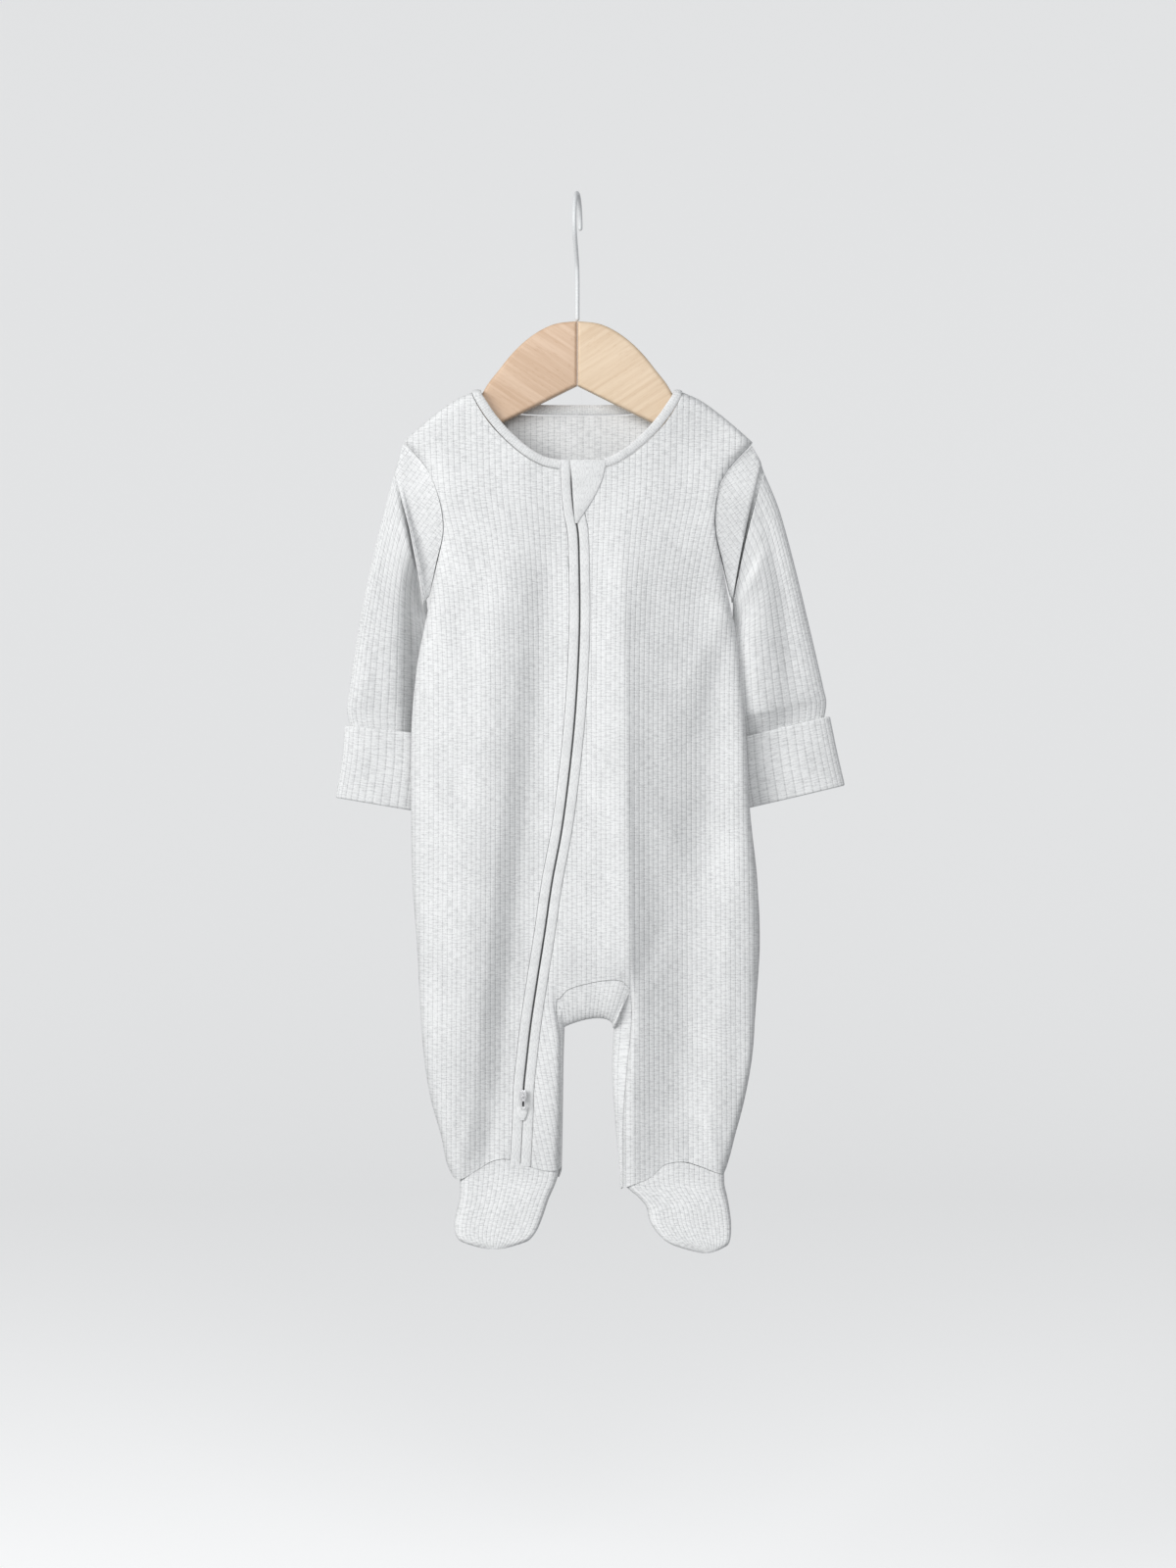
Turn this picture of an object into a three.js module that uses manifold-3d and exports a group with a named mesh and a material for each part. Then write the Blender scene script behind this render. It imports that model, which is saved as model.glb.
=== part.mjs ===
// A footed baby sleepsuit in wide-ribbed jersey, hanging on a small wooden hanger.
// Millimetres, +Z up, front of the garment towards -Y. The origin is the inside of the
// hook's crown, where the hook bears on a clothes rail.
import * as THREE from "three";
import Module from "manifold-3d";
import { mergeVertices } from "three/addons/utils/BufferGeometryUtils.js";

const wasm = await Module();
wasm.setup();

// Driving dimensions
const KNIT_WALL = 1.2;
const RIB_HEIGHT = 0.5;
const SEAM_GAP = 0.3;
const BODY_RIBS = 64;
const SLEEVE_RIBS = 40;
const FOOT_RIBS = 20;
const POINTS_PER_RIB = 2;
const INNER_STEP = 4;
const LENS_POWER = 2.5;
const SHOULDER_ROLL = 9;
const SHOULDER_POINT_Z = -161;
const UNDERARM_Z = -262;
const ARMHOLE_DEPTH = 8;
const LEG_SPLIT_TOP_Z = -495;
const LEG_SPLIT_END_Z = -560;
const LEG_DEPTH = 12;
const INSEAM_HALF = 3;
const HALF_NECK = 68.5;

// Colours of the real materials
const MARL = 0xe4e5e6;
const TRIM_MARL = 0xe9eaeb;
const COIL_GREY = 0x4a4b4d;
const NICKEL = 0xc4c6c8;
const BEECH = 0xdcb993;
const WHITE_COAT = 0xf4f5f5;

// The body's side edges, and how far its front and back stand from the middle plane.
const BODY = [
  { z: -161, left: -112.5, right: 114.5, front: 11.5, back: 11 },
  { z: -178, left: -98, right: 99, front: 12.5, back: 11.5 },
  { z: -192, left: -91.5, right: 92, front: 13, back: 12 },
  { z: -208, left: -87.5, right: 89.5, front: 13.5, back: 12 },
  { z: -222, left: -87, right: 90, front: 14, back: 12 },
  { z: -240, left: -91, right: 94, front: 15, back: 12.5 },
  { z: -262, left: -95.5, right: 98.5, front: 15.5, back: 13 },
  { z: -283, left: -100, right: 103, front: 16, back: 13 },
  { z: -307, left: -104.5, right: 106, front: 16.5, back: 13.5 },
  { z: -345, left: -108, right: 109.5, front: 17.5, back: 14 },
  { z: -400, left: -108.5, right: 112.5, front: 18, back: 14.5 },
  { z: -448, left: -107.5, right: 117.5, front: 17.5, back: 14.5 },
  { z: -490, left: -104.5, right: 119, front: 16.5, back: 14 },
  { z: -528, left: -102.5, right: 116.5, front: 15, back: 13.5 },
  { z: -562, left: -100, right: 114, front: 14, back: 13 },
  { z: -590, left: -95.5, right: 109, front: 13, back: 12 },
  { z: -613, left: -89, right: 103, front: 12, back: 12 },
  { z: -632, left: -85, right: 98, front: 12, back: 12 },
  { z: -642, left: -80, right: 94, front: 12, back: 12 },
];

// The line over the shoulder, carried on inwards over the neck hole.
const SHOULDER = [
  { x: 0, z: -92 },
  { x: 40, z: -113 },
  { x: 68.5, z: -128.2 },
  { x: 80, z: -133.5 },
  { x: 92, z: -142 },
  { x: 103, z: -151 },
  { x: 116, z: -162.5 },
];

// The necklines that the panels are cut to, from the middle out to the neck point.
const NECKLINE = [
  { x: 0, front: -180, back: -142.8 },
  { x: 12, front: -179.6, back: -142.8 },
  { x: 24, front: -176.8, back: -142.6 },
  { x: 36, front: -169.8, back: -142 },
  { x: 49, front: -158.5, back: -140.6 },
  { x: 58, front: -148.3, back: -138 },
  { x: 64, front: -139.4, back: -134.8 },
  { x: 67.5, front: -132.6, back: -131 },
  { x: 68.5, front: -129, back: -129 },
];

// The edges of the front and back along the inside of each leg, where the gusset starts.
const INSIDE_LEG = [
  { z: -511, left: -13.2, right: 35 },
  { z: -522, left: -14.6, right: 36.2 },
  { z: -530, left: -14.6, right: 36 },
  { z: -545, left: -11.8, right: 35 },
  { z: -570, left: -11.2, right: 32.5 },
  { z: -600, left: -11.2, right: 30.2 },
  { z: -640, left: -11.8, right: 29.6 },
];

// How low the front and back reach at the fork, by the share of the way across.
const FORK = [
  { across: 0, z: -511 },
  { across: 0.28, z: -512 },
  { across: 0.36, z: -518 },
  { across: 0.406, z: -524 },
  { across: 0.44, z: -517.6 },
  { across: 0.5, z: -513.4 },
  { across: 0.57, z: -511 },
  { across: 0.6, z: -512 },
  { across: 0.625, z: -516.5 },
  { across: 0.68, z: -513 },
  { across: 0.75, z: -511.5 },
  { across: 1, z: -511 },
];
const FORK_FIRST_RIB = 26;
const FORK_LAST_RIB = 40;

// The curved seam between each leg's front and the foot's upper.
const VAMP_LEFT = [
  { x: -86, z: -633 },
  { x: -80, z: -640 },
  { x: -76, z: -641 },
  { x: -66, z: -635.5 },
  { x: -55, z: -629.2 },
  { x: -45, z: -628 },
  { x: -33.6, z: -631.7 },
  { x: -22, z: -635 },
  { x: -10, z: -635 },
];
const VAMP_RIGHT = [
  { x: 29, z: -647 },
  { x: 38, z: -643.5 },
  { x: 46, z: -640.4 },
  { x: 51.5, z: -636 },
  { x: 57, z: -631.4 },
  { x: 69, z: -629.8 },
  { x: 81, z: -633 },
  { x: 90, z: -636.5 },
  { x: 98, z: -638.5 },
];
const HEEL_SEAM_Z = -641;
const FOOT_SEAM_HALF = 0.45;

// The main soft ridges and troughs of the hanging cloth, each along its own line.
const FOLDS = [
  { face: "front", topX: -46, topZ: -215, endX: -84, endZ: -625, wide: 15, deep: 2.8 },
  { face: "front", topX: -12, topZ: -205, endX: -46, endZ: -625, wide: 16, deep: -2.8 },
  { face: "front", topX: 28, topZ: -225, endX: 33, endZ: -530, wide: 13, deep: 3 },
  { face: "front", topX: 96, topZ: -300, endX: 62, endZ: -625, wide: 17, deep: -3.4 },
  { face: "front", topX: 106, topZ: -380, endX: 92, endZ: -625, wide: 11, deep: 1.6 },
  { face: "back", topX: 44, topZ: -205, endX: 66, endZ: -625, wide: 18, deep: 2.4 },
  { face: "back", topX: 12, topZ: -205, endX: 6, endZ: -500, wide: 17, deep: -3 },
  { face: "back", topX: -38, topZ: -205, endX: -58, endZ: -625, wide: 18, deep: 2.6 },
  { face: "back", topX: -76, topZ: -290, endX: -84, endZ: -520, wide: 14, deep: -2.2 },
];

// A sleeve's rings: the outer edge o, the inner edge i, half the depth between its front
// and back, how far the ring bows towards the body, and how deep its front is dented. The
// first two rings are the cap and its fold, and their dent is wider than the arm's.
const CAP_RINGS = 2;
const CAP_DENT = { at: 0.6, over: 0.4 };
const ARM_DENT = { at: 0.76, over: 0.22 };
const SLEEVE_LEFT = [
  { ox: -117, oz: -173, ix: -98.2, iz: -262.4, oy: 0.4, iy: 1.2, half: 8, bow: 1, fold: 0 },
  { ox: -119.4, oz: -181, ix: -99.4, iz: -266, oy: 1.6, iy: 5, half: 9, bow: 1.5, fold: 8.5 },
  { ox: -126, oz: -205, ix: -99.2, iz: -270, oy: 2, iy: 11, half: 9.5, bow: 0, fold: 9.5 },
  { ox: -134.6, oz: -240, ix: -97, iz: -277, oy: 3.6, iy: 18, half: 9.2, bow: 0, fold: 9 },
  { ox: -144, oz: -286, ix: -91, iz: -296, oy: 7.6, iy: 23, half: 8.8, bow: 0, fold: 7 },
  { ox: -149.8, oz: -325, ix: -87.6, iz: -331, oy: 11.4, iy: 24.4, half: 8, bow: 0, fold: 3 },
  { ox: -151, oz: -336.5, ix: -87.8, iz: -343, oy: 12.6, iy: 24.4, half: 6.9, bow: 0, fold: 1 },
  { ox: -148.2, oz: -350, ix: -90.6, iz: -356, oy: 14, iy: 23.8, half: 5.4, bow: 0, fold: 0 },
];
const SLEEVE_RIGHT = [
  { ox: 119.5, oz: -173, ix: 101.2, iz: -262.4, oy: 0.4, iy: 1.2, half: 8, bow: 1, fold: 0 },
  { ox: 122, oz: -181, ix: 102, iz: -266, oy: 1.6, iy: 5, half: 9, bow: 1.5, fold: 8.5 },
  { ox: 131.8, oz: -205, ix: 102, iz: -271, oy: 2, iy: 11, half: 9.5, bow: 0, fold: 6 },
  { ox: 141.6, oz: -240, ix: 101.6, iz: -280, oy: 3.6, iy: 17, half: 9.2, bow: 0, fold: 4 },
  { ox: 152, oz: -282, ix: 97.6, iz: -299, oy: 7.6, iy: 22, half: 8.6, bow: 0, fold: 2.5 },
  { ox: 161, oz: -320, ix: 97, iz: -336, oy: 11.4, iy: 24.4, half: 8, bow: 0, fold: 1 },
  { ox: 163.2, oz: -331, ix: 98.4, iz: -346, oy: 12.6, iy: 24.4, half: 6.9, bow: 0, fold: 0 },
  { ox: 161.2, oz: -344.5, ix: 101.4, iz: -359, oy: 14, iy: 23.8, half: 5.4, bow: 0, fold: 0 },
];

// The turned-back mitten cuffs, as rings over the sleeve ends.
const CUFF_WALL = 2.2;
const CUFF_LEFT = [
  { ox: -152.6, oz: -345.6, ix: -86, iz: -352.6, oy: 13.4, iy: 24.4, half: 10, bow: 0, fold: 0 },
  { ox: -154.5, oz: -368, ix: -86, iz: -378, oy: 13.8, iy: 24.6, half: 9.4, bow: 0, fold: 0 },
  { ox: -158.6, oz: -393, ix: -88.5, iz: -405, oy: 14.4, iy: 24.4, half: 8, bow: 0, fold: 0 },
];
const CUFF_RIGHT = [
  { ox: 165.6, oz: -339.5, ix: 96.5, iz: -356, oy: 13.4, iy: 24.4, half: 10, bow: 0, fold: 0 },
  { ox: 170, oz: -361, ix: 97.5, iz: -380, oy: 13.8, iy: 24.6, half: 9.4, bow: 0, fold: 0 },
  { ox: 175.5, oz: -385, ix: 100, iz: -403, oy: 14.4, iy: 24.4, half: 8, bow: 0, fold: 0 },
];

// Each foot's side edges, middle plane, and the rise of its upper and its sole.
const FOOT_LEFT = [
  { z: -628, left: -76, right: -11, y: 0, upper: 12, sole: 12 },
  { z: -641, left: -76.6, right: -13, y: -1.5, upper: 12.6, sole: 13.2 },
  { z: -654, left: -76.8, right: -18.6, y: -8, upper: 13, sole: 15 },
  { z: -664, left: -79, right: -22.2, y: -16, upper: 12.5, sole: 13.5 },
  { z: -673, left: -79.2, right: -26.5, y: -25.5, upper: 10, sole: 9.5 },
  { z: -679, left: -74.8, right: -32.5, y: -33, upper: 6.5, sole: 5.5 },
  { z: -683, left: -66, right: -41, y: -38.5, upper: 2.6, sole: 2.2 },
];
const FOOT_RIGHT = [
  { z: -630, left: 30, right: 96, y: 0, upper: 12, sole: 12 },
  { z: -645, left: 31, right: 96, y: -2.5, upper: 12.8, sole: 13.6 },
  { z: -652, left: 39, right: 97.5, y: -7, upper: 13, sole: 15 },
  { z: -658, left: 44.4, right: 98.6, y: -11, upper: 13, sole: 14.4 },
  { z: -668, left: 47.4, right: 99.6, y: -20, upper: 11.8, sole: 12 },
  { z: -677.5, left: 56, right: 98.6, y: -31, upper: 8, sole: 7 },
  { z: -683, left: 67, right: 95, y: -37.5, upper: 4, sole: 3.4 },
  { z: -685.4, left: 76, right: 90, y: -40, upper: 2.4, sole: 2 },
];

// The zip's own line down the front, from the neck to the ankle of the right leg.
const ZIP = [
  { z: -173, x: -4.2 },
  { z: -192, x: -3.6 },
  { z: -206, x: -2.2 },
  { z: -220, x: 0.4 },
  { z: -239, x: 1.2 },
  { z: -276, x: 1.6 },
  { z: -307, x: 0.6 },
  { z: -344, x: -1.8 },
  { z: -384, x: -6 },
  { z: -416, x: -10.4 },
  { z: -448, x: -16.4 },
  { z: -481, x: -21.2 },
  { z: -513, x: -26.2 },
  { z: -540, x: -30.2 },
  { z: -566, x: -33.2 },
  { z: -582, x: -34.8 },
  { z: -603, x: -35.4 },
  { z: -634, x: -37 },
];
const COIL_TOP_Z = -214;
const COIL_END_Z = -582;
const ZIP_END_Z = { right: -627.6, left: -630.4 };
const NECK_END_Z = -173.4;
const COIL_HALF = 0.75;
const COIL_DEPTH = 1.4;
const FACING_WIDE = 5.2;
const FACING_THICK = 2.2;
const FACING_PROUD = 0.9;

// Small mathematics

function clamp(value, low, high) {
  return Math.min(Math.max(value, low), high);
}

function mix(a, b, share) {
  return a + (b - a) * share;
}

function smooth(from, to, at) {
  const u = clamp((at - from) / (to - from), 0, 1);
  return u * u * (3 - 2 * u);
}

function lens(s) {
  return Math.sqrt(Math.max(0, 1 - Math.abs(s) ** LENS_POWER));
}

// Reads a named column of a table at a place between its rows, on a smooth curve.
function read(table, by, at, column) {
  const last = table.length - 1;
  const sign = Math.sign(table[last][by] - table[0][by]);
  const place = (k) => sign * table[k][by];
  const want = clamp(sign * at, place(0), place(last));
  let k = 0;
  while (k < last - 1 && want > place(k + 1)) k += 1;
  const slope = (j) => {
    const before = Math.max(j - 1, 0);
    const after = Math.min(j + 1, last);
    return (table[after][column] - table[before][column]) / (place(after) - place(before));
  };
  const span = place(k + 1) - place(k);
  const u = (want - place(k)) / span;
  const startShare = 2 * u ** 3 - 3 * u ** 2 + 1;
  const startSlope = (u ** 3 - 2 * u ** 2 + u) * span * slope(k);
  const endSlope = (u ** 3 - u ** 2) * span * slope(k + 1);
  return startShare * table[k][column] + startSlope + (1 - startShare) * table[k + 1][column] + endSlope;
}

function point(x, y, z) {
  return new THREE.Vector3(x, y, z);
}

// Solids from grids of points

// Collects triangles, and closes walls between an outer and an inner edge.
class Cloth {
  constructor() {
    this.corners = [];
  }

  triangle(a, b, c) {
    this.corners.push(a, b, c);
  }

  face(grid, outwards) {
    for (let r = 0; r < grid.length - 1; r += 1) {
      for (let c = 0; c < grid[r].length - 1; c += 1) {
        const [a, b] = [grid[r][c], grid[r][c + 1]];
        const [d, e] = [grid[r + 1][c], grid[r + 1][c + 1]];
        if (outwards) {
          this.triangle(a, d, b);
          this.triangle(b, d, e);
        } else {
          this.triangle(a, b, d);
          this.triangle(b, e, d);
        }
      }
    }
  }

  // Fills between two edges that run the same way, whatever number of points each has.
  strip(first, second) {
    let i = 0;
    let j = 0;
    while (i < first.length - 1 || j < second.length - 1) {
      const nextFirst = (i + 1) / (first.length - 1);
      const nextSecond = (j + 1) / (second.length - 1);
      if (j === second.length - 1 || (i < first.length - 1 && nextFirst <= nextSecond + 1e-9)) {
        this.triangle(first[i], first[i + 1], second[j]);
        i += 1;
      } else {
        this.triangle(first[i], second[j + 1], second[j]);
        j += 1;
      }
    }
  }

  geometry() {
    const made = new THREE.BufferGeometry().setFromPoints(this.corners);
    return mergeVertices(made, 1e-4);
  }
}

// Unit normals of a grid, from its own neighbours. A closed grid repeats its first column.
function normalsOf(grid, closed, flip) {
  const rows = grid.length;
  return grid.map((row, r) =>
    row.map((_, c) => {
      const last = row.length - 1;
      const before = c === 0 ? (closed ? row[last - 1] : row[0]) : row[c - 1];
      const after = c === last ? (closed ? row[1] : row[last]) : row[c + 1];
      const across = after.clone().sub(before);
      const above = grid[Math.max(r - 1, 0)][c];
      const below = grid[Math.min(r + 1, rows - 1)][c];
      const down = below.clone().sub(above);
      return down.cross(across).multiplyScalar(flip).normalize();
    }),
  );
}

function moved(grid, normals, distance) {
  return grid.map((row, r) => row.map((p, c) => p.clone().addScaledVector(normals[r][c], distance(r, c))));
}

function everyNth(grid, step) {
  return grid.map((row) => row.filter((_, c) => c % step === 0));
}

function ribAt(column) {
  return column % POINTS_PER_RIB === 0 ? 0 : RIB_HEIGHT;
}

function reversed(edge) {
  return [...edge].reverse();
}

function columnOf(grid, c) {
  return grid.map((row) => row.at(c));
}

function partOf(grid, fromColumn, toColumn) {
  return grid.map((row) => row.slice(fromColumn, toColumn + 1));
}

// A closed wall between an outer grid and a coarser inner grid.
function wallBlock(cloth, outer, inner, edges) {
  cloth.face(outer, true);
  cloth.face(inner, false);
  if (edges.top) cloth.strip(outer[0], inner[0]);
  if (edges.bottom) cloth.strip(reversed(outer.at(-1)), reversed(inner.at(-1)));
  if (edges.left) cloth.strip(reversed(columnOf(outer, 0)), reversed(columnOf(inner, 0)));
  if (edges.right) cloth.strip(columnOf(outer, -1), columnOf(inner, -1));
}

function ribbedTube(rings, wall) {
  const normals = normalsOf(rings, true, 1);
  const outer = moved(rings, normals, (r, c) => ribAt(c));
  const inner = everyNth(moved(rings, normals, () => -wall), INNER_STEP);
  const cloth = new Cloth();
  wallBlock(cloth, outer, inner, { top: true, bottom: true });
  return cloth.geometry();
}

// A plain strip with a thickness, between two edge lines of the same number of points.
function ribbon(firstEdge, secondEdge, inwards, outwards, rounding = 0.3) {
  const section = firstEdge.map((a, k) => {
    const b = secondEdge[k];
    const before = firstEdge[Math.max(k - 1, 0)];
    const after = firstEdge[Math.min(k + 1, firstEdge.length - 1)];
    const along = after.clone().sub(before);
    const across = b.clone().sub(a);
    const normal = along.clone().cross(across).normalize();
    const inset = across.clone().multiplyScalar(rounding / across.length());
    return [
      a.clone().addScaledVector(normal, -inwards),
      a.clone().addScaledVector(normal, outwards * 0.4),
      a.clone().add(inset).addScaledVector(normal, outwards),
      b.clone().sub(inset).addScaledVector(normal, outwards),
      b.clone().addScaledVector(normal, outwards * 0.4),
      b.clone().addScaledVector(normal, -inwards),
    ];
  });
  const cloth = new Cloth();
  const loop = section.map((ring) => [...ring, ring[0]]);
  cloth.face(loop, true);
  const cap = (ring, turned) => {
    for (let k = 1; k < ring.length - 1; k += 1) {
      if (turned) cloth.triangle(ring[0], ring[k + 1], ring[k]);
      else cloth.triangle(ring[0], ring[k], ring[k + 1]);
    }
  };
  cap(section[0], false);
  cap(section.at(-1), true);
  return cloth.geometry();
}

// Manifold solids, for cuts

function solidOf(geometry) {
  const bare = new THREE.BufferGeometry();
  bare.setAttribute("position", geometry.getAttribute("position"));
  bare.setIndex(geometry.getIndex());
  const merged = mergeVertices(bare, 1e-4);
  return new wasm.Manifold(
    new wasm.Mesh({
      numProp: 3,
      vertProperties: merged.getAttribute("position").array,
      triVerts: new Uint32Array(merged.getIndex().array),
    }),
  );
}

function geometryOf(solid) {
  const mesh = solid.getMesh();
  const made = new THREE.BufferGeometry();
  made.setAttribute("position", new THREE.BufferAttribute(mesh.vertProperties, 3));
  made.setIndex(new THREE.BufferAttribute(mesh.triVerts, 1));
  return made;
}

// The body's cloth

function foldHeight(face, x, z) {
  let height = 0;
  for (const fold of FOLDS) {
    if (fold.face !== face) continue;
    const way = (z - fold.topZ) / (fold.endZ - fold.topZ);
    const line = mix(fold.topX, fold.endX, clamp(way, 0, 1));
    const fade = smooth(-0.12, 0.18, way) * (1 - smooth(0.85, 1.1, way));
    height += fold.deep * fade * Math.exp(-(((x - line) / fold.wide) ** 2));
  }
  return height;
}

function bodyDepth(face, x, z) {
  const left = read(BODY, "z", z, "left");
  const right = read(BODY, "z", z, "right");
  const full = read(BODY, "z", z, face);
  const s = (2 * x - left - right) / (right - left);
  const down = clamp((z - SHOULDER_POINT_Z) / (UNDERARM_Z - SHOULDER_POINT_Z), 0, 1);
  const open = ARMHOLE_DEPTH * Math.sin(Math.PI * down);
  const torso = open + (full - open + foldHeight(face, x, z)) * lens(s);
  const split = smooth(LEG_SPLIT_TOP_Z, LEG_SPLIT_END_Z, z);
  const insideLeft = read(INSIDE_LEG, "z", z, "left");
  const insideRight = read(INSIDE_LEG, "z", z, "right");
  const onLeft = x < (insideLeft + insideRight) / 2;
  const outside = onLeft ? left : right;
  const inside = onLeft ? insideLeft : insideRight;
  const way = clamp((x - outside) / (inside - outside), 0, 1);
  const leg = INSEAM_HALF * way + (LEG_DEPTH + foldHeight(face, x, z)) * lens(2 * way - 1);
  const below = read(SHOULDER, "x", Math.abs(x), "z") - z;
  const roll = clamp(below / SHOULDER_ROLL, 0, 1);
  return mix(torso, leg, split) * Math.sqrt(1 - (1 - roll) ** 2);
}

function onBody(face, x, z, proud = 0) {
  const side = face === "front" ? -1 : 1;
  return point(x, side * (bodyDepth(face, x, z) + SEAM_GAP / 2 + proud), z);
}

function topEdge(face, across) {
  let z = SHOULDER_POINT_Z;
  let x = 0;
  for (let turn = 0; turn < 12; turn += 1) {
    x = mix(read(BODY, "z", z, "left"), read(BODY, "z", z, "right"), across);
    const reach = Math.abs(x);
    z = reach < HALF_NECK ? read(NECKLINE, "x", reach, face) : read(SHOULDER, "x", reach, "z");
  }
  return z;
}

const CHEST_ROWS = { front: [0, 0.035, 0.13, 0.4, 0.68, 1], back: [0, 0.045, 0.2, 0.58, 1] };
const HIP_ROWS = { front: [0.22, 0.46, 0.73, 1], back: [0.3, 0.64, 1] };
const LEG_ROWS = [0.16, 0.38, 0.68, 1];

function torsoRows(face) {
  const columns = BODY_RIBS * POINTS_PER_RIB;
  const row = (heightAt) =>
    Array.from({ length: columns + 1 }, (_, c) => {
      const across = c / columns;
      const z = heightAt(across);
      const x = mix(read(BODY, "z", z, "left"), read(BODY, "z", z, "right"), across);
      return onBody(face, x, z);
    });
  const top = (across) => topEdge(face, across);
  const chest = CHEST_ROWS[face].map((share) => row((across) => mix(top(across), UNDERARM_Z, share)));
  const forkZ = (across) => read(FORK, "across", across, "z");
  const hips = HIP_ROWS[face].map((share) => row((across) => mix(UNDERARM_Z, forkZ(across), share)));
  return [...chest, ...hips];
}

function legRows(face, side, topRow) {
  const vamp = side === "left" ? VAMP_LEFT : VAMP_RIGHT;
  const steps = topRow.length - 1;
  const xAt = (c, z) => {
    const outside = read(BODY, "z", z, side);
    const inside = read(INSIDE_LEG, "z", z, side);
    return side === "left" ? mix(outside, inside, c / steps) : mix(inside, outside, c / steps);
  };
  const hemAt = (c) => {
    let z = HEEL_SEAM_Z;
    if (face === "back") return z + SEAM_GAP;
    for (let turn = 0; turn < 8; turn += 1) z = read(vamp, "x", xAt(c, z), "z") + 2 * SEAM_GAP;
    return z;
  };
  return LEG_ROWS.map((share) =>
    topRow.map((p, c) => {
      const z = mix(p.z, hemAt(c), share);
      return onBody(face, xAt(c, z), z);
    }),
  );
}

// The grids of a front or back: the trunk down to the fork, and each leg below it.
function bodyGrids(face) {
  const first = FORK_FIRST_RIB * POINTS_PER_RIB;
  const last = FORK_LAST_RIB * POINTS_PER_RIB;
  const torso = torsoRows(face);
  const fork = torso.at(-1);
  const legs = {
    left: [fork.slice(0, first + 1), ...legRows(face, "left", fork.slice(0, first + 1))],
    right: [fork.slice(last), ...legRows(face, "right", fork.slice(last))],
  };
  return { torso, fork, legs, first, last };
}

// A front or back with its two legs, as one ribbed wall.
function bodySheet(face) {
  const flip = face === "front" ? 1 : -1;
  const side = face === "front" ? -1 : 1;
  const { torso, legs, first, last } = bodyGrids(face);
  const torsoNormals = normalsOf(torso, false, flip);
  const legNormals = {
    left: normalsOf(legs.left, false, flip),
    right: normalsOf(legs.right, false, flip),
  };
  legNormals.left[0] = torsoNormals.at(-1).slice(0, first + 1);
  legNormals.right[0] = torsoNormals.at(-1).slice(last);
  const insideOf = (grid, normals) => {
    const back = moved(grid, normals, () => -KNIT_WALL);
    for (const row of back) {
      for (const p of row) p.y = side * Math.max(side * p.y, SEAM_GAP / 2);
    }
    return everyNth(back, INNER_STEP);
  };
  const blocks = [
    { grid: torso, normals: torsoNormals, edges: { top: true, left: true, right: true } },
    { grid: legs.left, normals: legNormals.left, edges: { bottom: true, left: true, right: true } },
    { grid: legs.right, normals: legNormals.right, edges: { bottom: true, left: true, right: true } },
  ];
  const cloth = new Cloth();
  for (const { grid, normals, edges } of blocks) {
    const outer = moved(grid, normals, (r, c) => ribAt(c));
    const inner = insideOf(grid, normals);
    const turn = (g) => (face === "front" ? g : g.map(reversed));
    const turned = face === "front" ? edges : { ...edges, left: edges.right, right: edges.left };
    wallBlock(cloth, turn(outer), turn(inner), turned);
    if (grid === torso) {
      const forkOuter = turn([partOf(outer, first, last).at(-1)])[0];
      const forkInner = turn([partOf(inner, first / INNER_STEP, last / INNER_STEP).at(-1)])[0];
      cloth.strip(reversed(forkOuter), reversed(forkInner));
    }
  }
  return cloth.geometry();
}

// Sleeves and cuffs

function armholeRing(side) {
  const edges = {};
  for (const face of ["front", "back"]) {
    edges[face] = torsoRows(face)
      .slice(0, CHEST_ROWS[face].length)
      .map((row) => (side === "left" ? row[0] : row.at(-1)));
  }
  const outwards = side === "left" ? -1 : 1;
  return (face, share) => {
    const edge = edges[face];
    const z = mix(edge[0].z - 2.2, edge.at(-1).z + 0.4, share);
    let k = 0;
    while (k < edge.length - 2 && z < edge[k + 1].z) k += 1;
    const u = (z - edge[k].z) / (edge[k + 1].z - edge[k].z);
    const p = edge[k].clone().lerp(edge[k + 1], u);
    const clear = SEAM_GAP + 0.2 + 0.9 * share ** 3 + 1.3 * (1 - share) ** 8;
    return point(p.x + outwards * clear, p.y * 0.94, z);
  };
}

function closedRing(columns, pointAt) {
  const ring = Array.from({ length: columns }, (_, c) => pointAt((2 * Math.PI * c) / columns));
  return [...ring, ring[0].clone()];
}

// One closed ring of a sleeve: down the front from the outer edge, then up the back.
function sleeveRing(row, side, columns, dent = ARM_DENT) {
  const outer = point(row.ox, row.oy, row.oz);
  const inner = point(row.ix, row.iy, row.iz);
  const line = inner.clone().sub(outer);
  const bowWay = point(-line.z, 0, line.x).normalize();
  if (bowWay.x * (side === "left" ? 1 : -1) < 0) bowWay.negate();
  return closedRing(columns, (angle) => {
    const share = (1 - Math.cos(angle)) / 2;
    const depth = row.half * Math.abs(Math.sin(angle)) ** 0.8 * Math.sign(Math.sin(angle));
    const dentHere = Math.exp(-(((share - dent.at) / dent.over) ** 2));
    const pressed = Math.sin(angle) > 0 ? row.fold * dentHere : 0;
    const p = outer.clone().lerp(inner, share);
    p.addScaledVector(bowWay, row.bow * Math.sin(angle) ** 2);
    p.y += pressed - depth;
    return p;
  });
}

function armholeLoop(side, columns) {
  const edgeAt = armholeRing(side);
  return closedRing(columns, (angle) => {
    const share = (1 - Math.cos(angle)) / 2;
    return edgeAt(angle <= Math.PI ? "front" : "back", share);
  });
}

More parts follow.
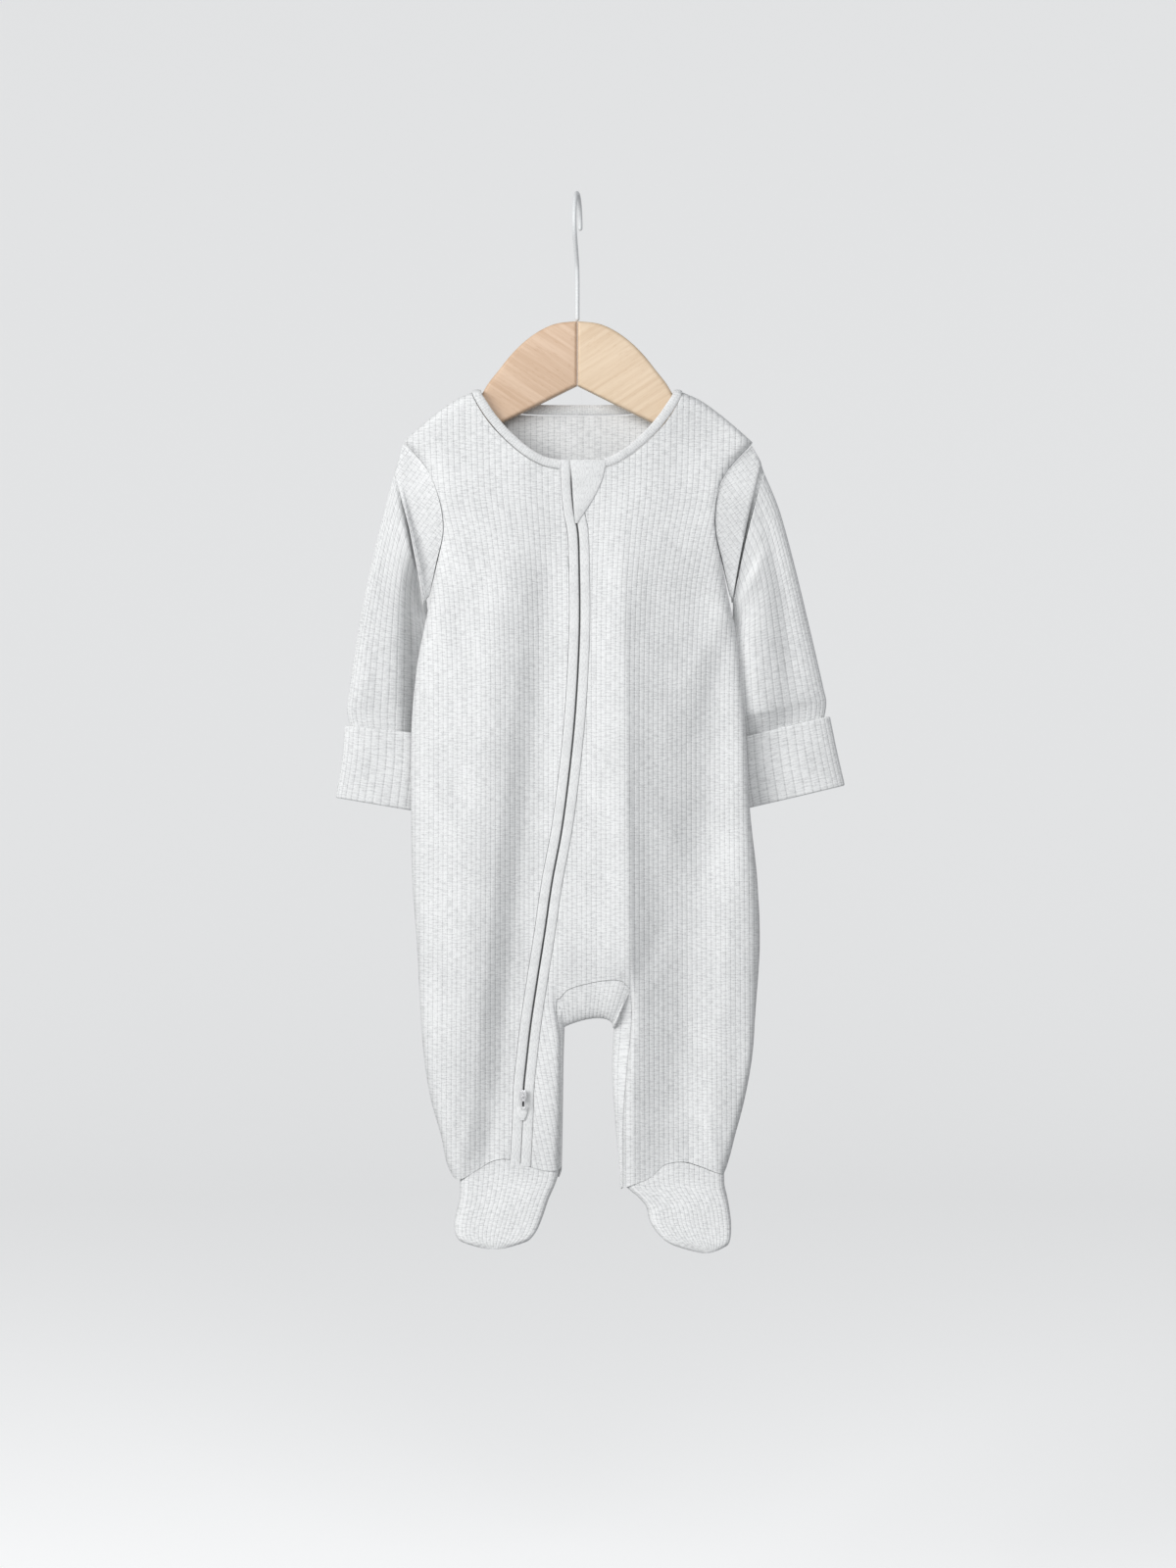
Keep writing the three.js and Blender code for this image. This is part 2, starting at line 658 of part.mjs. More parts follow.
function sleeveGeometry(side) {
  const columns = SLEEVE_RIBS * POINTS_PER_RIB;
  const table = side === "left" ? SLEEVE_LEFT : SLEEVE_RIGHT;
  const dentOf = (k) => (k < CAP_RINGS ? CAP_DENT : ARM_DENT);
  const arm = table.map((row, k) => sleeveRing(row, side, columns, dentOf(k)));
  const rings = [armholeLoop(side, columns), ...arm];
  return ribbedTube(side === "left" ? rings : rings.map(reversed), KNIT_WALL);
}

function cuffGeometry(side) {
  const columns = SLEEVE_RIBS * POINTS_PER_RIB;
  const table = side === "left" ? CUFF_LEFT : CUFF_RIGHT;
  const rings = table.map((row) => sleeveRing(row, side, columns));
  return ribbedTube(side === "left" ? rings : rings.map(reversed), CUFF_WALL);
}

// Feet

function footRows(side, piece, columns, shares) {
  const table = side === "left" ? FOOT_LEFT : FOOT_RIGHT;
  const vamp = side === "left" ? VAMP_LEFT : VAMP_RIGHT;
  const face = piece === "upper" ? -1 : 1;
  const toeZ = table.at(-1).z;
  const xAt = (across, z) => mix(read(table, "z", z, "left"), read(table, "z", z, "right"), across);
  const topZ = (across) => {
    let z = HEEL_SEAM_Z;
    if (piece === "sole") return z - SEAM_GAP;
    for (let turn = 0; turn < 8; turn += 1) z = read(vamp, "x", xAt(across, z), "z") - SEAM_GAP;
    return z;
  };
  const endZ = (across) => toeZ + 5 * Math.abs(2 * across - 1) ** 3;
  return shares.map((share) =>
    Array.from({ length: columns + 1 }, (_, c) => {
      const across = c / columns;
      const z = mix(topZ(across), endZ(across), share);
      const rise = read(table, "z", z, piece) * lens(2 * across - 1);
      return point(xAt(across, z), read(table, "z", z, "y") + face * (rise + FOOT_SEAM_HALF), z);
    }),
  );
}

function footGeometry(side, piece) {
  const ribbed = piece === "upper";
  const columns = ribbed ? FOOT_RIBS * POINTS_PER_RIB : FOOT_RIBS / 2 + 1;
  const rows = footRows(side, piece, columns, [0, 0.3, 0.6, 0.86, 1]);
  const flip = ribbed ? 1 : -1;
  const normals = normalsOf(rows, false, flip);
  const outer = moved(rows, normals, (r, c) => (ribbed ? ribAt(c) : 0));
  const inside = moved(rows, normals, () => -KNIT_WALL);
  const seamY = (z) => read(side === "left" ? FOOT_LEFT : FOOT_RIGHT, "z", z, "y");
  for (const row of inside) {
    for (const p of row) {
      const away = (p.y - seamY(p.z)) * -flip;
      if (away < FOOT_SEAM_HALF) p.y = seamY(p.z) - flip * FOOT_SEAM_HALF;
    }
  }
  const inner = everyNth(inside, ribbed ? INNER_STEP : 2);
  const cloth = new Cloth();
  const turn = (g) => (ribbed ? g : g.map(reversed));
  wallBlock(cloth, turn(outer), turn(inner), { top: true, bottom: true, left: true, right: true });
  return cloth.geometry();
}

// The gusset: a strip up one inside leg, across the fork and down the other. Each row
// below gives how far its middle stands clear of the seam, along the seam's length.
const GUSSET_LEFT_LEG = [
  { z: -640, clear: 1.4 },
  { z: -570, clear: 2 },
  { z: -540, clear: 4 },
  { z: -524, clear: 10 },
];
const GUSSET_FORK = [
  { way: 0, x: -9.8, z: -543 },
  { way: 0.2, x: -3, z: -540 },
  { way: 0.45, x: 7, z: -537.2 },
  { way: 0.7, x: 16, z: -536.6 },
  { way: 0.88, x: 21.6, z: -538.6 },
  { way: 1, x: 24.2, z: -543 },
];
const GUSSET_RIGHT_LEG = [
  { z: -518, clear: 11 },
  { z: -545, clear: 11 },
  { z: -570, clear: 9.6 },
  { z: -600, clear: 5.6 },
  { z: -640, clear: 1.4 },
];
const GUSSET_ACROSS = 4;
const GUSSET_SEAM_CLEAR = 0.8;

// The seam that the gusset is sewn to, from one ankle over the fork to the other.
function gussetSeam(face) {
  const { legs, fork, first, last } = bodyGrids(face);
  const leftLeg = reversed(columnOf(legs.left, -1)).slice(0, -1);
  const rightLeg = columnOf(legs.right, 0).slice(1);
  const across = fork.slice(first, last + 1);
  return [
    ...leftLeg.map((p) => ({ p, place: "left" })),
    ...across.map((p, k) => ({ p, place: "fork", way: k / (across.length - 1), rib: ribAt(k) })),
    ...rightLeg.map((p) => ({ p, place: "right" })),
  ];
}

function gussetMiddle({ p, place, way }) {
  const fork = (column) => read(GUSSET_FORK, "way", way, column);
  if (place === "fork") return point(fork("x"), 0, fork("z"));
  if (place === "left") return point(p.x + read(GUSSET_LEFT_LEG, "z", p.z, "clear"), 0, p.z);
  return point(p.x - read(GUSSET_RIGHT_LEG, "z", p.z, "clear"), 0, p.z);
}

function gussetGeometry() {
  const seam = gussetSeam("front");
  const behind = gussetSeam("back");
  const rows = seam.map((station, k) => {
    const middle = gussetMiddle(station);
    const clear = (p) => {
      const way = point(middle.x - p.x, 0, middle.z - p.z).normalize();
      const moved = p.clone().addScaledVector(way, GUSSET_SEAM_CLEAR);
      moved.y *= 0.9;
      return moved;
    };
    const front = clear(station.p);
    const back = clear(behind[k].p);
    middle.y = (front.y + back.y) / 2;
    const control = middle.clone().multiplyScalar(2).sub(front.clone().add(back).multiplyScalar(0.5));
    return new THREE.QuadraticBezierCurve3(front, control, back).getPoints(GUSSET_ACROSS);
  });
  const normals = normalsOf(rows, false, -1);
  const outer = moved(rows, normals, (r, c) => (c % GUSSET_ACROSS === 0 ? 0 : seam[r].rib ?? 0));
  const inner = moved(rows, normals, () => -KNIT_WALL);
  const cloth = new Cloth();
  const turn = (g) => g.map(reversed);
  wallBlock(cloth, turn(outer), turn(inner), { top: true, bottom: true, left: true, right: true });
  return cloth.geometry();
}

// Neck binding: a folded rib strip round the neck, open at the zip.
const BINDING_WIDE = 6;
const BINDING_HALF = 1;
const BINDING_RISE = [
  { x: 0, front: 6, back: 6.6, inwards: 0 },
  { x: 24, front: 5.4, back: 6.6, inwards: 2 },
  { x: 36, front: 4.8, back: 6.4, inwards: 3.2 },
  { x: 49, front: 4, back: 5.6, inwards: 4.4 },
  { x: 58, front: 3.4, back: 4.6, inwards: 5 },
  { x: 64, front: 3, back: 3.4, inwards: 5.2 },
  { x: 68.5, front: 0.4, back: 0.4, inwards: 5.8 },
];
const BINDING_STEPS = 14;
const BINDING_SEAM_CLEAR = 0.3;

function bindingEdges() {
  const sewn = [];
  const free = [];
  const add = (sign, reach, face) => {
    const z = read(NECKLINE, "x", reach, face);
    const seam = onBody(face, sign * reach, z, -KNIT_WALL / 2);
    const slope = (read(NECKLINE, "x", reach + 1, face) - read(NECKLINE, "x", reach - 1, face)) / 2;
    const lift = (SEAM_GAP + BINDING_SEAM_CLEAR) * Math.sqrt(1 + Math.min(slope ** 2, 1.5));
    seam.z += lift;
    sewn.push(seam);
    const inwards = read(BINDING_RISE, "x", reach, "inwards");
    const rise = read(BINDING_RISE, "x", reach, face);
    free.push(point(seam.x - sign * inwards, seam.y, seam.z + rise));
  };
  const shareAt = (k) => Math.sin((Math.PI / 2) * (k / BINDING_STEPS));
  const shares = Array.from({ length: BINDING_STEPS }, (_, k) => shareAt(k));
  const [leftEnd, rightEnd] = [12.6, 19.2];
  for (const s of shares) add(-1, mix(leftEnd, HALF_NECK, s), "front");
  for (const s of reversed(shares)) add(-1, HALF_NECK * s, "back");
  for (const s of shares.slice(1)) add(1, HALF_NECK * s, "back");
  for (const s of reversed(shares)) add(1, mix(rightEnd, HALF_NECK, s), "front");
  return { sewn, free };
}

// Zip

function zipX(z) {
  return read(ZIP, "z", z, "x");
}

// The heights at which every piece of the zip is placed, so that their sides keep apart.
const ZIP_STATIONS = [
  -186, -198, -206, -214, -222, -230, -240, -256, -276, -307, -344, -384, -416, -448, -481, -513,
  -540, -562, -582, -592, -606, -618,
];

function stations(fromZ, toZ) {
  return [fromZ, ...ZIP_STATIONS.filter((z) => z < fromZ - 0.5 && z > toZ + 0.5), toZ];
}

// A line beside the zip, a given distance from it along the cloth.
function besideZip(heights, offset, proud) {
  return heights.map((z) => {
    const slope = (zipX(z - 2) - zipX(z + 2)) / 4;
    const shift = offset * Math.sqrt(1 + slope ** 2);
    return onBody("front", zipX(z) + shift, z, proud);
  });
}

const FACING_INNER = COIL_HALF + SEAM_GAP + 0.2;
const FACING_OUTER = FACING_INNER + FACING_WIDE;

function facingGeometry(side) {
  const sign = side === "right" ? -1 : 1;
  const heights = stations(NECK_END_Z, ZIP_END_Z[side]);
  const near = besideZip(heights, sign * FACING_INNER, 0);
  const far = besideZip(heights, sign * FACING_OUTER, 0);
  const inwards = FACING_THICK - FACING_PROUD;
  const [first, second] = sign < 0 ? [far, near] : [near, far];
  return ribbon(first, second, inwards, FACING_PROUD, 1.2);
}

function coilGeometry() {
  const heights = stations(COIL_TOP_Z, COIL_END_Z);
  const left = besideZip(heights, -COIL_HALF, 0);
  const right = besideZip(heights, COIL_HALF, 0);
  return ribbon(left, right, COIL_DEPTH, 0.1);
}

function zipChannel() {
  const reach = FACING_OUTER + SEAM_GAP + 0.15;
  const heights = [NECK_END_Z + 20, ...stations(NECK_END_Z, ZIP_END_Z.left), ZIP_END_Z.left - 30];
  const line = (offset) => besideZip(heights, offset, 0).map((p) => [p.x, p.z]);
  const outline = [...line(-reach), ...reversed(line(reach))];
  const shape = new THREE.Shape(outline.map(([x, z]) => new THREE.Vector2(x, z)));
  const block = new THREE.ExtrudeGeometry(shape, { depth: 60, bevelEnabled: false, steps: 1 });
  block.rotateX(Math.PI / 2);
  block.deleteAttribute("uv");
  block.deleteAttribute("normal");
  return mergeVertices(block, 1e-4);
}

// Runs the zip's channel down the front and keeps the piece on each side of it.
function frontPanels() {
  const whole = solidOf(bodySheet("front"));
  const pieces = whole.subtract(solidOf(zipChannel())).decompose();
  const middleX = (piece) => (piece.boundingBox().min[0] + piece.boundingBox().max[0]) / 2;
  const large = pieces.filter((piece) => piece.volume() > 100);
  large.sort((a, b) => middleX(a) - middleX(b));
  return { right: geometryOf(large[0]), left: geometryOf(large.at(-1)) };
}

// The flap that covers the zip's top, and the tab below its lower end.
const FLAP = [
  { z: -173.4, left: -4.6, right: 18.4 },
  { z: -184, left: -3.6, right: 17.4 },
  { z: -194, left: -3, right: 14.6 },
  { z: -203, left: -2.2, right: 10.2 },
  { z: -210, left: -1.2, right: 5.6 },
  { z: -214.6, left: 0, right: 1.6 },
];
const FLAP_STANDS = 1.5;
const FLAP_HALF = 0.7;
const TAB = [
  { z: -593.6, left: -4.2, right: 3 },
  { z: -598, left: -3.8, right: 2.6 },
  { z: -602.5, left: -1.4, right: 1 },
];

function patchGeometry(table, offsetX, proud, half, steps) {
  const edge = (column) =>
    Array.from({ length: steps + 1 }, (_, k) => {
      const z = mix(table[0].z, table.at(-1).z, k / steps);
      return onBody("front", read(table, "z", z, column) + offsetX(z), z, proud);
    });
  return ribbon(edge("left"), edge("right"), half, half, 0.5);
}

// The slider at the zip's lower end, and the pull tab that hangs on it.
const SLIDER_Z = -586.4;
const SLIDER_WIDE = 5.2;
const SLIDER_TALL = 7.6;
const SLIDER_THICK = 1.8;
const PULL_WIDE = 3;
const PULL_LONG = 9;
const PULL_THICK = 0.9;
const PULL_PIVOT_DROP = 0.45;
const PULL_SLOT_WIDE = 1.1;

function sliderFront() {
  return onBody("front", zipX(SLIDER_Z), SLIDER_Z, FACING_PROUD + SEAM_GAP + 0.25);
}

function roundedOutline(path, wide, tall, corner) {
  const [w, t] = [wide / 2, tall / 2];
  path.moveTo(-w + corner, -t);
  path.lineTo(w - corner, -t);
  path.quadraticCurveTo(w, -t, w, -t + corner);
  path.lineTo(w, t - corner);
  path.quadraticCurveTo(w, t, w - corner, t);
  path.lineTo(-w + corner, t);
  path.quadraticCurveTo(-w, t, -w, t - corner);
  path.lineTo(-w, -t + corner);
  path.quadraticCurveTo(-w, -t, -w + corner, -t);
  return path;
}

function roundedPlate(wide, tall, thick, corner, slotWide = 0) {
  const shape = roundedOutline(new THREE.Shape(), wide, tall, corner);
  const slotTall = tall - wide + slotWide;
  if (slotWide) shape.holes.push(roundedOutline(new THREE.Path(), slotWide, slotTall, slotWide * 0.4));
  const plate = new THREE.ExtrudeGeometry(shape, { depth: thick, bevelEnabled: false, curveSegments: 3 });
  plate.rotateX(Math.PI / 2);
  return plate;
}

// Hanger

const HANGER_HALF_THICK = 5.2;
const HANGER_BEVEL = 2.4;
const HANGER_TOP = [
  { x: 0, z: -82 },
  { x: 13.8, z: -83.8 },
  { x: 24.3, z: -88.6 },
  { x: 34, z: -95.8 },
  { x: 42.4, z: -104.4 },
  { x: 50, z: -114 },
  { x: 56.3, z: -122 },
  { x: 61, z: -130 },
  { x: 66, z: -137 },
  { x: 78, z: -141.4 },
  { x: 88, z: -147.4 },
];
const HANGER_END = [
  { x: 91.4, z: -153 },
  { x: 89.6, z: -158.6 },
  { x: 85, z: -160.6 },
];
const HANGER_APEX_Z = -125;
const HANGER_UNDER_X = 50.5;
const HANGER_UNDER_Z = -148.8;

function hangerHalf(sign) {
  const inset = HANGER_BEVEL;
  const joint = SEAM_GAP / 2 + inset;
  const outline = [];
  const steps = 18;
  for (let k = 0; k <= steps; k += 1) {
    const x = mix(joint, HANGER_TOP.at(-1).x - inset, k / steps);
    outline.push([x, read(HANGER_TOP, "x", x, "z") - inset]);
  }
  for (const { x, z } of HANGER_END) outline.push([x - inset, z + inset * 0.4]);
  outline.push([76, -155.8]);
  outline.push([HANGER_UNDER_X, HANGER_UNDER_Z + inset]);
  outline.push([joint, HANGER_APEX_Z + inset]);
  const shape = new THREE.Shape(outline.map(([x, z]) => new THREE.Vector2(sign * x, z)));
  const depth = 2 * (HANGER_HALF_THICK - HANGER_BEVEL);
  const half = new THREE.ExtrudeGeometry(shape, {
    depth,
    bevelEnabled: true,
    bevelSize: inset,
    bevelThickness: inset,
    bevelSegments: 2,
  });
  half.rotateX(Math.PI / 2);
  half.translate(0, depth / 2, 0);
  return half;
}

const WIRE_RADIUS = 1.5;
const HOOK_RADIUS = 19;
const HOOK_TURN = 0.1;

function hookGeometry() {
  const centreZ = WIRE_RADIUS - HOOK_RADIUS;
  const places = [
    [0, HANGER_TOP[0].z + SEAM_GAP],
    [0, -70],
    [0, -56],
    [-1.5, -47],
    [-7, -39],
  ];
  for (const degrees of [215, 190, 165, 140, 115, 90, 65, 40, 15, -6]) {
    const angle = (degrees * Math.PI) / 180;
    places.push([HOOK_RADIUS * Math.cos(angle), centreZ + HOOK_RADIUS * Math.sin(angle)]);
  }
  const turned = places.map(([y, z]) => point(y * Math.sin(HOOK_TURN), y * Math.cos(HOOK_TURN), z));
  const path = new THREE.CatmullRomCurve3(turned, false, "centripetal");
  const round = new THREE.Shape();
  round.absarc(0, 0, WIRE_RADIUS, 0, 2 * Math.PI, false);
  return new THREE.ExtrudeGeometry(round, { steps: 28, curveSegments: 4, extrudePath: path });
}

// The whole object

function finish(color, roughness, metalness = 0) {
  return new THREE.MeshStandardMaterial({ color, roughness, metalness });
}

const marl = finish(MARL, 0.95);
const trim = finish(TRIM_MARL, 0.95);
const beech = finish(BEECH, 0.55);

const garment = new THREE.Group();

function add(name, geometry, material) {
  const mesh = new THREE.Mesh(geometry, material);
  mesh.name = name;
  garment.add(mesh);
  return mesh;
}

const front = frontPanels();
add("front_right", front.right, marl);
add("front_left", front.left, marl);
add("back", bodySheet("back"), marl);
add("gusset", gussetGeometry(), marl);
for (const [name, side] of [
  ["right", "left"],
  ["left", "right"],
]) {
  add(`sleeve_${name}`, sleeveGeometry(side), marl);
  add(`cuff_${name}`, cuffGeometry(side), marl);
  add(`foot_upper_${name}`, footGeometry(side, "upper"), marl);
  add(`foot_sole_${name}`, footGeometry(side, "sole"), marl);
  add(`hanger_${name}`, hangerHalf(side === "left" ? -1 : 1), beech);
}
const binding = bindingEdges();
add("neck_binding", ribbon(binding.sewn, binding.free, BINDING_HALF, BINDING_HALF, 0.8), trim);
add("zip_facing_right", facingGeometry("right"), trim);
add("zip_facing_left", facingGeometry("left"), trim);
add("zip_coil", coilGeometry(), finish(COIL_GREY, 0.5));
add("zip_flap", patchGeometry(FLAP, () => 0, FACING_PROUD + FLAP_STANDS, FLAP_HALF, 10), trim);
add("zip_tab", patchGeometry(TAB, zipX, FACING_PROUD + 1, 0.6, 4), trim);

const nickel = finish(NICKEL, 0.3, 0.9);
const slider = add("zip_slider", roundedPlate(SLIDER_WIDE, SLIDER_TALL, SLIDER_THICK, 1.4), nickel);
slider.position.copy(sliderFront());
const pullTab = roundedPlate(PULL_WIDE, PULL_LONG, PULL_THICK, 1, PULL_SLOT_WIDE);
const pull = add("zip_pull", pullTab, nickel);
pull.position.copy(sliderFront());
pull.position.y -= SLIDER_THICK + SEAM_GAP;
pull.position.z -= PULL_LONG / 2 - PULL_PIVOT_DROP;

add("hook", hookGeometry(), finish(WHITE_COAT, 0.35));

export default garment;
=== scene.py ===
# A footed baby sleepsuit in pale grey marl rib, hanging on a small wooden hanger.
# The cloth is measured in millimetres and made in metres, +Z up, its front towards -Y.
import math

import bpy
import numpy as np
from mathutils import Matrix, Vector


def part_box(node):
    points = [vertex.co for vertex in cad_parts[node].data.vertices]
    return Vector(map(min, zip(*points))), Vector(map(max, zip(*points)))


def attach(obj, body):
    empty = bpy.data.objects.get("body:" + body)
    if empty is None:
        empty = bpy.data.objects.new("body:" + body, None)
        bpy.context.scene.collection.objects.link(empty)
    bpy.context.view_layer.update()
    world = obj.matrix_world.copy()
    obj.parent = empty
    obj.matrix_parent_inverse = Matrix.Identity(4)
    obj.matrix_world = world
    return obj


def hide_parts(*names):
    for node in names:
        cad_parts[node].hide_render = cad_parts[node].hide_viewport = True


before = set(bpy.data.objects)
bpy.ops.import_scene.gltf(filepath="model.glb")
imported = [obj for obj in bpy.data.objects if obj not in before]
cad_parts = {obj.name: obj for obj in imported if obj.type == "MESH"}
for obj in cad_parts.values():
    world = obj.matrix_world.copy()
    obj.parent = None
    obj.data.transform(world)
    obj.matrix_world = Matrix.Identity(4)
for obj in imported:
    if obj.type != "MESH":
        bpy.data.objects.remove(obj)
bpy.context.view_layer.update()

# The studio: a level camera 2.5 m in front, a round pale floor whose rim curves up all
# round into a wall, a broad soft light from the left front and an even fill.
scene = bpy.context.scene
scene.view_settings.view_transform = "Standard"

camera = bpy.data.objects.new("camera", bpy.data.cameras.new("camera"))
camera.data.lens = 87.9
camera.location = (0.007, -2.5, -0.384)
camera.rotation_euler = (math.radians(90), 0, 0)
scene.collection.objects.link(camera)
scene.camera = camera


def soft_light(name, at, size, watts, colour):
    """Makes a round lamp that faces the middle of the garment."""
    lamp = bpy.data.lights.new(name, "AREA")
    lamp.shape = "DISK"
    lamp.size = size
    lamp.energy = watts
    lamp.color = colour
    holder = bpy.data.objects.new(name, lamp)
    holder.location = at
    middle = Vector((0, 0, -0.36))
    holder.rotation_euler = (middle - Vector(at)).to_track_quat("-Z", "Y").to_euler()
    scene.collection.objects.link(holder)


soft_light("window_light", at=(-1.95, -1.85, 0.5), size=1.8, watts=54, colour=(1, 0.998, 0.992))
soft_light("front_fill", at=(0.15, -2.45, 0.5), size=1.2, watts=21, colour=(0.99, 0.995, 1))

world = bpy.data.worlds.new("daylight")
world.use_nodes = True
world.node_tree.nodes["Background"].inputs["Color"].default_value = (0.95, 0.975, 1, 1)
world.node_tree.nodes["Background"].inputs["Strength"].default_value = 0.34
scene.world = world

FLOOR_Z = -0.95
FLOOR_RADIUS = 4.2
RIM_CURVE = 1.4
WALL_TOP_Z = 3.2


def round_floor():
    """The floor and its wall, as one surface of revolution that faces inwards."""
    turns = 96
    profile = [(0.02, FLOOR_Z)]
    for k in range(13):
        angle = math.radians(90 * k / 12)
        out = FLOOR_RADIUS - RIM_CURVE * (1 - math.sin(angle))
        profile.append((out, FLOOR_Z + RIM_CURVE * (1 - math.cos(angle))))
    profile.append((FLOOR_RADIUS, WALL_TOP_Z))
    points = []
    for out, z in profile:
        for k in range(turns):
            angle = 2 * math.pi * k / turns
            points.append((out * math.cos(angle), out * math.sin(angle), z))
    faces = [tuple(range(turns))]
    for ring in range(len(profile) - 1):
        for k in range(turns):
            a, b = ring * turns + k, ring * turns + (k + 1) % turns
            faces.append((a, a + turns, b + turns, b)[::-1])
    mesh = bpy.data.meshes.new("studio_floor")
    mesh.from_pydata(points, [], faces)
    mesh.polygons.foreach_set("use_smooth", [True] * len(faces))
    return mesh


paper = bpy.data.materials.new("pale_paper")
paper.use_nodes = True
paper.node_tree.nodes["Principled BSDF"].inputs["Base Color"].default_value = (0.8, 0.803, 0.806, 1)
paper.node_tree.nodes["Principled BSDF"].inputs["Roughness"].default_value = 1
paper.node_tree.nodes["Principled BSDF"].inputs["Emission Color"].default_value = (1, 1, 1, 1)
paper.node_tree.nodes["Principled BSDF"].inputs["Emission Strength"].default_value = 0.38
studio = bpy.data.objects.new("studio_floor", round_floor())
studio.data.materials.append(paper)
studio.visible_diffuse = False
studio.visible_shadow = False
scene.collection.objects.link(studio)

# The cloth body: a front in two parts and a back, each with its legs, cut from marl
# cotton jersey in a wide rib and held together by flat seams. The suit hangs flat and
# empty, with soft folds. Each panel is a wall with ribs raised over a plain inside.
MM = 0.001
KNIT_WALL = 1.2
RIB_HEIGHT = 0.2
SEAM_GAP = 0.3
RIB_PITCH = 3.2
RIB_PLACES = [0, 0.08, 0.17, 0.34, 0.66, 0.83, 0.92]
RIB_POINTS = len(RIB_PLACES)
LENS_POWER = dict(left=13, right=26)
SHOULDER_ROLL = 5
SHOULDER_POINT_Z = -161
UNDERARM_Z = -262
ARMHOLE_DEPTH = 10
FLATTER = 0.4
LEG_SPLIT_TOP_Z = -495
LEG_SPLIT_END_Z = -560
LEG_DEPTH = 12
INSEAM_HALF = 3
INSEAM_FULL = 10
HALF_NECK = 68.5
HEEL_SEAM_Z = -641
VAMP_GAP = 0.12

# The body's side edges, and how far its front and back stand from the middle plane.
BODY = [
    dict(z=-161, left=-112.5, right=114.5, front=11.5, back=11),
    dict(z=-178, left=-98, right=99, front=12.5, back=11.5),
    dict(z=-192, left=-91.5, right=92, front=13, back=12),
    dict(z=-208, left=-87.5, right=89.5, front=13.5, back=12),
    dict(z=-222, left=-87, right=90, front=14, back=12),
    dict(z=-240, left=-91, right=94, front=15, back=12.5),
    dict(z=-262, left=-95.5, right=98.5, front=15.5, back=13),
    dict(z=-283, left=-100, right=103, front=16, back=13),
    dict(z=-307, left=-104.5, right=106, front=16.5, back=13.5),
    dict(z=-345, left=-108, right=109.5, front=17.5, back=14),
    dict(z=-400, left=-108.5, right=112.5, front=18, back=14.5),
    dict(z=-448, left=-107.5, right=117.5, front=17.5, back=14.5),
    dict(z=-490, left=-104.5, right=119, front=16.5, back=14),
    dict(z=-528, left=-102.5, right=116.5, front=15, back=13.5),
    dict(z=-562, left=-100, right=114, front=14, back=13),
    dict(z=-590, left=-95.5, right=109, front=13, back=12),
    dict(z=-613, left=-89, right=103, front=12, back=12),
    dict(z=-632, left=-85, right=98, front=12, back=12),
    dict(z=-642, left=-80, right=94, front=12, back=12),
]

# The line over the shoulder, and the necklines of the front and the back.
SHOULDER = [
    dict(x=0, z=-92),
    dict(x=40, z=-113),
    dict(x=68.5, z=-128.2),
    dict(x=80, z=-133.5),
    dict(x=92, z=-142),
    dict(x=103, z=-151),
    dict(x=116, z=-162.5),
]

NECKLINE = [
    dict(x=0, front=-180, back=-142.8),
    dict(x=12, front=-179.6, back=-142.8),
    dict(x=24, front=-176.8, back=-142.6),
    dict(x=36, front=-169.8, back=-142),
    dict(x=49, front=-158.5, back=-140.6),
    dict(x=58, front=-148.3, back=-138),
    dict(x=64, front=-139.4, back=-134.8),
    dict(x=67.5, front=-132.6, back=-131),
    dict(x=68.5, front=-129, back=-129),
]

# The inside edge of each leg, and how low the panels reach at the fork, by the share
# of the way across.
INSIDE_LEG = [
    dict(z=-511, left=-13.2, right=35),
    dict(z=-522, left=-14.6, right=36.2),
    dict(z=-530, left=-14.6, right=36),
    dict(z=-545, left=-11.8, right=35),
    dict(z=-570, left=-11.2, right=32.5),
    dict(z=-600, left=-11.2, right=30.2),
    dict(z=-640, left=-11.8, right=29.6),
]

FORK = [
    dict(across=0, z=-511),
    dict(across=0.28, z=-512),
    dict(across=0.36, z=-518),
    dict(across=0.406, z=-524),
    dict(across=0.44, z=-517.6),
    dict(across=0.5, z=-513.4),
    dict(across=0.57, z=-511),
    dict(across=0.6, z=-512),
    dict(across=0.625, z=-516.5),
    dict(across=0.68, z=-513),
    dict(across=0.75, z=-511.5),
    dict(across=1, z=-511),
]
FORK_LEFT = 0.406
FORK_RIGHT = 0.625

# The ribs run straight down, a little wider apart where the shoulders stretch them.
RIB_GAUGE = [
    dict(z=-130, pitch=3.85),
    dict(z=-192, pitch=3.75),
    dict(z=-225, pitch=3.45),
    dict(z=-262, pitch=3.2),
    dict(z=-330, pitch=3.1),
    dict(z=-640, pitch=3.15),
]
INNER_LEG_LEAN = 0.2
INNER_LEG_LEAN_Z = -526

# The curved seam between each leg and the foot's upper.
VAMP_LEFT = [
    dict(x=-86, z=-633),
    dict(x=-80, z=-640),
    dict(x=-76, z=-641),
    dict(x=-66, z=-635.5),
    dict(x=-55, z=-629.2),
    dict(x=-45, z=-628),
    dict(x=-33.6, z=-631.7),
    dict(x=-22, z=-635),
    dict(x=-10, z=-635),
]

VAMP_RIGHT = [
    dict(x=29, z=-647),
    dict(x=38, z=-643.5),
    dict(x=46, z=-640.4),
    dict(x=51.5, z=-636),
    dict(x=57, z=-631.4),
    dict(x=69, z=-629.8),
    dict(x=81, z=-633),
    dict(x=90, z=-636.5),
    dict(x=98, z=-638.5),
]

